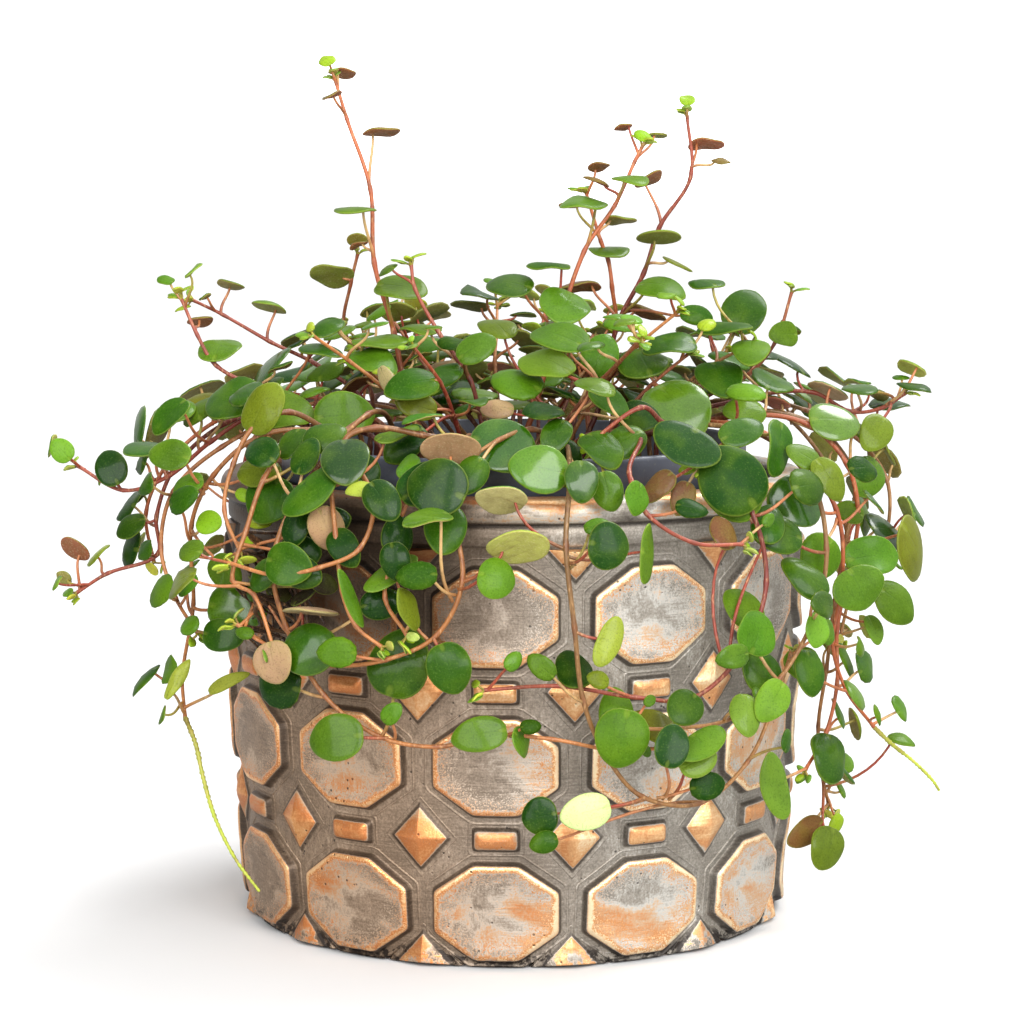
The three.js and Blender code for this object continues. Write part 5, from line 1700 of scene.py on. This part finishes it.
def lathe(name, profile, segments):
    """A closed turned body. The profile runs from the axis at the foot, round the outside, to the axis."""
    spots, faces, rings = [], [], []
    for radius, height in profile:
        if radius < 1e-6:
            rings.append([len(spots)])
            spots.append((0.0, 0.0, height * MM))
            continue
        rings.append(list(range(len(spots), len(spots) + segments)))
        for i in range(segments):
            turn = math.tau * i / segments
            spots.append((radius * math.sin(turn) * MM, -radius * math.cos(turn) * MM, height * MM))
    for low, high in zip(rings, rings[1:]):
        for i in range(segments):
            j = (i + 1) % segments
            if len(low) == 1:
                faces.append((low[0], high[j], high[i]))
            elif len(high) == 1:
                faces.append((low[i], low[j], high[0]))
            else:
                faces.append((low[i], low[j], high[j], high[i]))
    piece = new_piece(name, spots, faces)
    for polygon in piece.data.polygons:
        polygon.use_smooth = True
    return piece


def chip_foot(body):
    """Breaks the foot's edge: it lies a little higher and further in at each spot, by a draw."""
    draw = seeded(40)
    chips = [draw() ** 2 for _ in range(WALL_SEGMENTS)]
    chips = [(chips[i - 1] + 2 * chip + chips[(i + 1) % WALL_SEGMENTS]) / 4 for i, chip in enumerate(chips)]
    for vertex in body.data.vertices:
        x, y, z = vertex.co
        reach = math.hypot(x, y)
        if 0.0 < z < CHIP_HEIGHT * MM and reach > (WALL_FOOT_RADIUS - 2.0) * MM:
            chip = chips[round(math.atan2(x, -y) / math.tau * WALL_SEGMENTS) % WALL_SEGMENTS]
            vertex.co.x = x * (1 - CHIP_DEPTH * MM * chip / reach)
            vertex.co.y = y * (1 - CHIP_DEPTH * MM * chip / reach)
            vertex.co.z = z + CHIP_RISE * MM * chip


def planter_profile():
    wall = [(float(wall_radius(height)), height) for height in np.arange(3.0, PATTERN_TOP, 4.0)]
    band = float(wall_radius(PATTERN_TOP)) + BAND_OUT
    lip = LIP_RADIUS
    outside = [
        (0.0, 0.0), (WALL_FOOT_RADIUS - 4.0, 0.0), (WALL_FOOT_RADIUS - 1.0, 0.15),
        (WALL_FOOT_RADIUS - 0.1, 0.8), *wall, (float(wall_radius(102.6)), 102.6),
        (band - 0.5, 102.9), (band, 103.5), (band + 0.1, 105.6), (band - 0.1, 107.3), (band - 0.5, 107.9),
        (band - 0.5, 108.3), (lip - 1.0, 108.5), (lip - 0.3, 109.0), (lip, 109.9), (lip, 111.4),
        (lip - 0.3, 112.6), (lip - 0.9, 113.6), (lip - 1.9, 114.3), (lip - 3.4, 114.5),
    ]
    inside = [
        (CAVITY_TOP_RADIUS + 1.6, 114.5), (CAVITY_TOP_RADIUS + 0.6, 114.1), (CAVITY_TOP_RADIUS, 113.0),
        (CAVITY_TOP_RADIUS - 0.6, 104.0), (CAVITY_TOP_RADIUS - 3.4, 60.0), (CAVITY_FOOT_RADIUS + 0.6, 16.0),
        (CAVITY_FOOT_RADIUS - 1.5, 10.6), (CAVITY_FOOT_RADIUS - 5.0, PLANTER_FLOOR), (0.0, PLANTER_FLOOR),
    ]
    return outside + inside


def patina_group():
    """Copper under a grey and brown patina. Wear goes from 0, dark in the recess, over 0.5, grey, to
    1, rubbed copper. Painted light and shade then tint it: lighter to the right, browner to the left,
    and darker on the upper part of the left-hand side, where the leaves shade the wall."""
    inputs = {"Wear": ("Float", 0.5), "Streaks": ("Float", 0.5)}
    outputs = {"Color": "Color", "Roughness": "Float", "Metallic": "Float", "Height": "Float"}
    work, given, made = shader_group("patina", inputs, outputs)
    place = work.place()
    blotch = work.noise(place, 60.0, 3.0, 0.55, 0.3)
    fleck = work.noise(place, 1900.0, 2.0, 0.65)
    brushed = work.noise(work.place(scale=(130.0, 130.0, 2100.0)), 1.0, 3.0, 0.6, 0.8)
    slanted = work.noise(work.place(scale=(900.0, 900.0, 300.0)), 1.0, 2.0, 0.6, 0.8)
    pit = work.add("ShaderNodeTexVoronoi", {"Vector": place, "Scale": 430.0}).outputs["Distance"]
    pit = work.math("MULTIPLY", work.map_range(pit, 0.17, 0.09), work.map_range(blotch, 0.5, 0.58))
    stroke = work.mix(work.map_range(blotch, 0.42, 0.58), brushed, slanted)
    wear = work.math("MULTIPLY_ADD", work.math("SUBTRACT", fleck, 0.5), 0.26, given["Wear"])
    wear = work.math("MULTIPLY_ADD", work.math("SUBTRACT", stroke, 0.5), given["Streaks"], wear)
    wear = work.math("MULTIPLY_ADD", work.math("SUBTRACT", blotch, 0.5), 0.26, wear)
    spot = work.split(place)
    # Painted shade: the upper part of the left-hand side is darkened, where the overhanging leaves shade the
    # wall.
    leaf_shade = work.map_range(spot["X"], *LEAF_SHADE_ACROSS)
    leaf_shade = work.math("MULTIPLY", leaf_shade, work.map_range(spot["Z"], *LEAF_SHADE_UP))
    shade = work.ramp(wear, *PATINA_STOPS)
    shade = work.mix(work.math("MULTIPLY", pit, 0.8), shade, srgb(30, 24, 22))
    # Painted light: lighter and cooler to the right, where the light falls, and darker and browner to the
    # left.
    side_light = work.mix(work.map_range(spot["X"], TINT_REACH, -TINT_REACH), RIGHT_LIGHT_TINT, LEFT_SHADE_TINT)
    dim = work.mix(leaf_shade, side_light, LEAF_SHADE_TINT)
    work.tree.links.new(work.vector_math("MULTIPLY", shade, dim), made["Color"])
    rubbed = work.map_range(wear, 0.56, 0.85)
    rough = work.math("MULTIPLY_ADD", rubbed, -0.10, 0.36)
    work.tree.links.new(work.math("MULTIPLY_ADD", stroke, 0.22, rough), made["Roughness"])
    work.tree.links.new(work.math("MULTIPLY_ADD", rubbed, 0.25, 0.5), made["Metallic"])
    height = work.math("MULTIPLY_ADD", fleck, 0.35, work.math("MULTIPLY", stroke, 0.8))
    height = work.math("SUBTRACT", work.math("ADD", height, blotch), work.math("MULTIPLY", pit, 1.6))
    work.tree.links.new(height, made["Height"])
    return work.tree


def patinated(material, work, shader, patina, wear):
    """Gives a material the patina's finish for its wear."""
    finish = use_group(work, patina, wear=wear, streaks=STREAKS)
    connect(
        work, shader, base_color=finish["Color"], roughness=finish["Roughness"],
        metallic=finish["Metallic"], normal=bumped(work, finish["Height"], 0.4, 0.0003),
    )
    return material


def tile_finish(patina, kind):
    """Tiles: rubbed copper at the edge of the face, partly a painted glint where brightest; greyer inside,
    with an octagon's face paler to the right as painted light; dark grey down the sides.
    """
    material, work, shader = new_material(f"cast {kind.replace('_', ' ')}", specular_ior_level=0.5)
    inset = work.stored("inset")
    place = work.place()
    ragged = work.noise(place, 330.0, 5.0, 0.75)
    edge = work.math("MULTIPLY_ADD", work.math("SUBTRACT", ragged, 0.5), 2.0, inset)
    patch = work.noise(work.place(scale=(1.0, 1.0, 1.6)), 38.0, 3.0, 0.6, 0.6)
    patch = work.math("MULTIPLY", work.math("SUBTRACT", patch, 0.5), 1.1)
    if kind == "octagon":
        # Painted light: an octagon's face is paler towards the right, where the light falls.
        pale = work.map_range(work.split(place)["X"], -0.04, 0.05, 0.49, 0.54)
        rim = work.math("MULTIPLY", work.map_range(edge, 0.9, 2.6, 1.0, 0.0), 0.43)
        face = work.math("ADD", work.math("ADD", rim, pale), patch)
        face = work.math("MINIMUM", face, work.map_range(edge, 0.9, 3.4, 1.05, 0.74))
        halo = work.math("MULTIPLY", work.map_range(inset, 8.5, 2.0), work.map_range(
            work.noise(place, 2600.0, 2.0, 0.6), 0.52, 0.62))
        face = work.math("MULTIPLY_ADD", halo, 0.24, work.math("MAXIMUM", face, 0.43))
    else:
        face = work.math("MULTIPLY_ADD", patch, 0.8, work.map_range(edge, 0.1, 1.5, 0.62, 0.80))
    outer = work.map_range(inset, 0.35, 0.75)
    side = work.map_range(inset, -0.5, 0.1, 0.40, 0.22)
    wear = work.math("MULTIPLY_ADD", outer, work.math("SUBTRACT", face, side), side)
    # Painted highlight: the raised line round each recess is a touch lighter, as if it catches the light.
    line = work.math("MULTIPLY", work.map_range(inset, -1.3, -1.5), work.map_range(inset, -2.3, -2.0))
    wear = work.math("MULTIPLY_ADD", line, 0.03, wear)
    low = work.map_range(work.split(place)["Z"], 0.006, 0.002)
    chipped = work.math("MULTIPLY", low, work.map_range(ragged, 0.56, 0.46))
    wear = work.math("MULTIPLY_ADD", chipped, -0.4, wear)
    return patinated(material, work, shader, patina, wear)


def wall_finish(patina):
    """The wall between the tiles, the plain band and the lip, each with its own wear by height."""
    material, work, shader = new_material("cast wall", specular_ior_level=0.5)
    height = work.split(work.place())["Z"]
    lip = work.map_range(height, (LIP_BOTTOM - 0.1) * MM, (LIP_BOTTOM + 1.0) * MM)
    top = work.map_range(height, (PLANTER_TOP - 1.7) * MM, (PLANTER_TOP - 0.5) * MM)
    patch = work.noise(work.place(scale=(1.0, 1.0, 3.0)), 42.0, 3.0, 0.6, 0.5)
    on_lip = work.math("MULTIPLY_ADD", work.math("SUBTRACT", patch, 0.5), 1.3, 0.47)
    on_lip = work.math("MULTIPLY_ADD", top, 0.2, on_lip)
    wear = work.math("MULTIPLY_ADD", lip, work.math("SUBTRACT", on_lip, 0.41), 0.41)
    groove = work.map_range(height, (LIP_BOTTOM - 1.4) * MM, (LIP_BOTTOM - 0.5) * MM)
    above = work.map_range(height, (LIP_BOTTOM + 0.6) * MM, (LIP_BOTTOM - 0.1) * MM)
    groove = work.math("MULTIPLY", groove, above)
    wear = work.math("MULTIPLY_ADD", groove, -0.22, wear)
    foot = work.math("MULTIPLY", work.map_range(height, 0.0035, 0.0012), work.map_range(patch, 0.4, 0.6))
    wear = work.math("MULTIPLY_ADD", foot, 0.4, wear)
    return patinated(material, work, shader, patina, wear)


def tile_points(kind):
    """Where each kind of tile stands on the flat drawing: columns across, height up."""
    rows = [ROW_FIRST + ROW_PITCH * i for i in range(3)]
    between = [(low + high) / 2 for low, high in zip(rows, rows[1:])]
    heights = {
        "octagon": rows, "bar": between, "diamond": between, "foot_point": [PATTERN_FOOT],
        "top_point": [DIAMOND_TOP],
    }
    shift = 0.0 if kind in ("octagon", "bar") else 0.5
    return [
        ((column + shift) * COLUMN_SPACING, height, 0.0)
        for height in heights[kind] for column in range(COLUMNS)
    ]


def make_planter():
    """The planter: a turned body, with the tiles of the pattern set on its wall."""
    patina = patina_group()
    body = lathe("planter_body", planter_profile(), WALL_SEGMENTS)
    chip_foot(body)
    body.data.materials.append(wall_finish(patina))
    w, h = DIAMOND_WIDE, DIAMOND_HIGH
    outlines = {
        "octagon": octagon_corners(),
        "bar": [(-BAR_WIDE, -BAR_HIGH), (BAR_WIDE, -BAR_HIGH), (BAR_WIDE, BAR_HIGH), (-BAR_WIDE, BAR_HIGH)],
        "diamond": [(0, -h), (w, 0), (0, h), (-w, 0)],
        "foot_point": [(-w, 0), (w, 0), (0, h)],
        "top_point": [(0, -h), (w, 0), (-w, 0)],
    }
    rings = {"octagon": OCTAGON_RINGS, "bar": BAR_RINGS}
    tree = wall_tree()
    for kind, corners in outlines.items():
        rounding = CORNER_ROUND if kind in rings else PEAK_ROUND
        pace = CUT_PACE if kind in ("foot_point", "top_point") else 1.0
        pattern = tile_pattern(f"{kind}_pattern", corners, rings.get(kind, DIAMOND_RINGS), rounding, pace)
        finish = tile_finish(patina, kind)
        tiles = new_piece(f"planter_{kind}s", tile_points(kind))
        run_tree(
            tiles, tree, tile=pattern, turn=math.radians(COLUMN_TURN), wobble=WALL_WOBBLE, finish=finish,
        )
        bpy.data.objects.remove(pattern)
        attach(tiles, "root")
    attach(body, "root")
    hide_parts("planter")


def pot_profile():
    foot = PLANTER_FLOOR + CLEARANCE
    outer, inner = RIM_RADIUS, RIM_RADIUS - 2.0
    return [
        (0.0, foot), (POT_FOOT_RADIUS - 0.8, foot), (POT_FOOT_RADIUS, foot + 0.8),
        (NECK_RADIUS - 0.2, NECK_HEIGHT - 0.6), (NECK_RADIUS + 0.4, NECK_HEIGHT),
        (outer - 0.6, NECK_HEIGHT + 0.1), (outer, NECK_HEIGHT + 0.9), (outer, RIM_TOP - 1.1),
        (outer - 0.3, RIM_TOP - 0.4), (outer - 0.9, RIM_TOP), (inner + 0.4, RIM_TOP),
        (inner, RIM_TOP - 0.5), (inner - 0.4, NECK_HEIGHT + 2.4),
        (NECK_RADIUS - POT_WALL, NECK_HEIGHT + POT_WALL),
        (POT_FOOT_RADIUS - POT_WALL, foot + POT_BASE + 0.8),
        (POT_FOOT_RADIUS - POT_WALL - 0.8, foot + POT_BASE), (0.0, foot + POT_BASE),
    ]


def make_grow_pot():
    """The plastic pot that the plant grows in. Its rim shows between the leaves."""
    pot = lathe("nursery_pot", pot_profile(), POT_SEGMENTS)
    material, work, shader = new_material("grow pot plastic", specular_ior_level=0.45)
    place = work.place()
    cloud = work.noise(place, 60.0, 3.0, 0.6)
    dust = work.noise(place, 900.0, 4.0, 0.75)
    tint = work.mix(cloud, srgb(60, 64, 76), srgb(106, 112, 126))
    tint = work.mix(work.map_range(dust, 0.58, 0.75, 0.0, 0.4), tint, srgb(160, 150, 134))
    connect(
        work, shader, base_color=tint, roughness=work.math("MULTIPLY_ADD", dust, 0.35, 0.2),
        normal=bumped(work, dust, 0.3, 0.0002),
    )
    pot.data.materials.append(material)
    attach(pot, "root")
    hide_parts("grow_pot")


def soil_tree():
    """Scatters crumbs over the top of the soil and joins them to it."""
    sizes = {"Count": "Float", "Smallest": "Float", "Largest": "Float", "Seed": "Int", "Finish": "Material"}
    work, given = geometry_tree("crumbs on soil", sizes)
    height = work.split(work.add("GeometryNodeInputPosition").outputs[0])["Z"]
    top = work.math("GREATER_THAN", height, (SOIL_TOP - 2.0) * MM)
    points = work.add(
        "GeometryNodeDistributePointsOnFaces",
        {"Mesh": given["Geometry"], "Selection": top, "Density": given["Count"], "Seed": given["Seed"]},
    )
    crumb = work.add("GeometryNodeMeshIcoSphere", {"Radius": 0.5, "Subdivisions": 1}).outputs[0]
    size = work.add(
        "FunctionNodeRandomValue", {2: given["Smallest"], 3: given["Largest"], 8: given["Seed"]},
        data_type="FLOAT",
    ).outputs[1]
    squash = work.add(
        "FunctionNodeRandomValue", {0: (0.6, 0.6, 0.4), 1: (1.5, 1.2, 0.9)}, data_type="FLOAT_VECTOR",
    ).outputs[0]
    scale = work.add("ShaderNodeVectorMath", {0: squash, 3: size}, operation="SCALE").outputs[0]
    crumbs = work.add(
        "GeometryNodeInstanceOnPoints",
        {"Points": points.outputs[0], "Instance": crumb, "Rotation": points.outputs[2], "Scale": scale},
    ).outputs[0]
    crumbs = work.add("GeometryNodeRealizeInstances", {0: crumbs}).outputs[0]
    whole = work.add("GeometryNodeJoinGeometry")
    work.tree.links.new(given["Geometry"], whole.inputs[0])
    work.tree.links.new(crumbs, whole.inputs[0])
    inputs = {"Geometry": whole.outputs[0], "Material": given["Finish"]}
    finished = work.add("GeometryNodeSetMaterial", inputs)
    work.add("NodeGroupOutput", {0: finished.outputs[0]})
    return work.tree


def make_soil():
    """Potting mix: a rough top with crumbs on it."""
    foot = PLANTER_FLOOR + CLEARANCE + POT_BASE + CLEARANCE
    profile = [(0.0, foot), (POT_FOOT_RADIUS - POT_WALL - 1.6, foot), (SOIL_RADIUS, SOIL_TOP - 2.0)]
    profile += [(SOIL_RADIUS * (1 - i / SOIL_RINGS), SOIL_TOP - 1.0) for i in range(SOIL_RINGS + 1)]
    soil = lathe("potting_soil", profile, SOIL_SEGMENTS)
    rise = seeded(41)
    for vertex in soil.data.vertices:
        if vertex.co.z > (SOIL_TOP - 1.5) * MM:
            vertex.co.z += rise() * SOIL_ROUGH * MM
    material, work, shader = new_material("potting soil", specular_ior_level=0.2)
    place = work.place()
    cloud = work.noise(place, 320.0, 5.0, 0.75)
    tint = work.mix(work.map_range(cloud, 0.35, 0.65), srgb(24, 18, 15), srgb(74, 54, 40))
    fibre = work.noise(work.place(scale=(1.0, 3.0, 1.0)), 800.0, 3.0, 0.7)
    tint = work.mix(work.map_range(fibre, 0.62, 0.75, 0.0, 0.7), tint, srgb(138, 108, 78))
    connect(
        work, shader, base_color=tint, roughness=work.math("MULTIPLY_ADD", cloud, 0.15, 0.82),
        normal=bumped(work, cloud, 0.8, 0.0008),
    )
    area = math.pi * (SOIL_RADIUS * MM) ** 2
    run_tree(
        soil, soil_tree(), count=CRUMB_COUNT / area, smallest=CRUMB_SIZES[0] * MM,
        largest=CRUMB_SIZES[1] * MM, seed=7, finish=material,
    )
    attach(soil, "root")
    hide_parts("soil")


def make_camera():
    data = bpy.data.cameras.new("camera")
    data.lens = CAMERA_LENS
    data.clip_end = 20.0
    camera = bpy.data.objects.new("camera", data)
    camera.location = CAMERA_PLACE
    camera.rotation_euler = (math.radians(90 - CAMERA_DIP), 0, 0)
    data.shift_y = -CAMERA_SHIFT
    bpy.context.scene.collection.objects.link(camera)
    bpy.context.scene.camera = camera


def add_light(name, place, power):
    data = bpy.data.lights.new(name, "AREA")
    data.shape = "SQUARE"
    data.size = BOX_SIZE
    data.energy = power
    light = bpy.data.objects.new(name, data)
    light.location = place
    heading = Vector(BOX_AIM) - Vector(place)
    light.rotation_euler = heading.to_track_quat("-Z", "Y").to_euler()
    bpy.context.scene.collection.objects.link(light)


def make_studio():
    """A pale floor under soft light, the strongest from high up on the right."""
    half = FLOOR_SIZE / 2
    corners = [(-half, -half, 0), (half, -half, 0), (half, half, 0), (-half, half, 0)]
    floor = new_piece("studio_floor", corners, [(0, 1, 2, 3)])
    floor.location.z = FLOOR_HEIGHT
    material, work, shader = new_material("studio floor", roughness=0.9, specular_ior_level=0.1)
    speck = work.noise(work.place(), 40.0)
    pale = work.mix(speck, (0.73, 0.73, 0.73, 1), (0.75, 0.75, 0.75, 1))
    seen = work.add("ShaderNodeLightPath").outputs["Is Camera Ray"]
    connect(work, shader, base_color=work.mix(seen, FLOOR_UNSEEN, pale))
    floor.data.materials.append(material)
    world = bpy.data.worlds.new("studio")
    bpy.context.scene.world = world
    world.use_nodes = True
    work = NodeWork(world.node_tree)
    background = world.node_tree.nodes["Background"]
    background.inputs["Color"].default_value = (1, 1, 1, 1)
    heading = work.add("ShaderNodeTexCoord").outputs["Generated"]
    glows = []
    sides = (
        (SKY_SIDE, SKY_DIM, SKY_BRIGHT), (SHEEN_SIDE, SHEEN_DIM, SHEEN_BRIGHT),
        (BACKDROP_SIDE, 0.0, BACKDROP_BRIGHT),
    )
    for side, dim, bright in sides:
        towards = work.add("ShaderNodeVectorMath", {0: heading, 1: side}, operation="DOT_PRODUCT")
        glows.append(work.map_range(towards.outputs["Value"], 0.0, 0.95, dim, bright))
    path = work.add("ShaderNodeLightPath").outputs
    mirrored = work.math("ADD", glows[1], glows[2])
    sheen = work.math("MULTIPLY", path["Is Glossy Ray"], work.math("SUBTRACT", mirrored, glows[0]))
    glow = work.math("ADD", glows[0], sheen)
    glow = work.math("MULTIPLY_ADD", path["Is Camera Ray"], BEHIND_BRIGHT, glow)
    work.tree.links.new(glow, background.inputs["Strength"])
    sun = bpy.data.lights.new("key", "SUN")
    sun.energy = SUN_POWER
    sun.angle = math.radians(SUN_SPREAD)
    key = bpy.data.objects.new("key", sun)
    key.rotation_euler = Vector(SUN_SIDE).to_track_quat("Z", "Y").to_euler()
    bpy.context.scene.collection.objects.link(key)
    for row in SOFT_BOXES:
        add_light(*row)
    bpy.context.scene.view_settings.view_transform = "Standard"


make_camera()
make_studio()
make_planter()
make_grow_pot()
make_soil()
dress_plant(grown_stems())
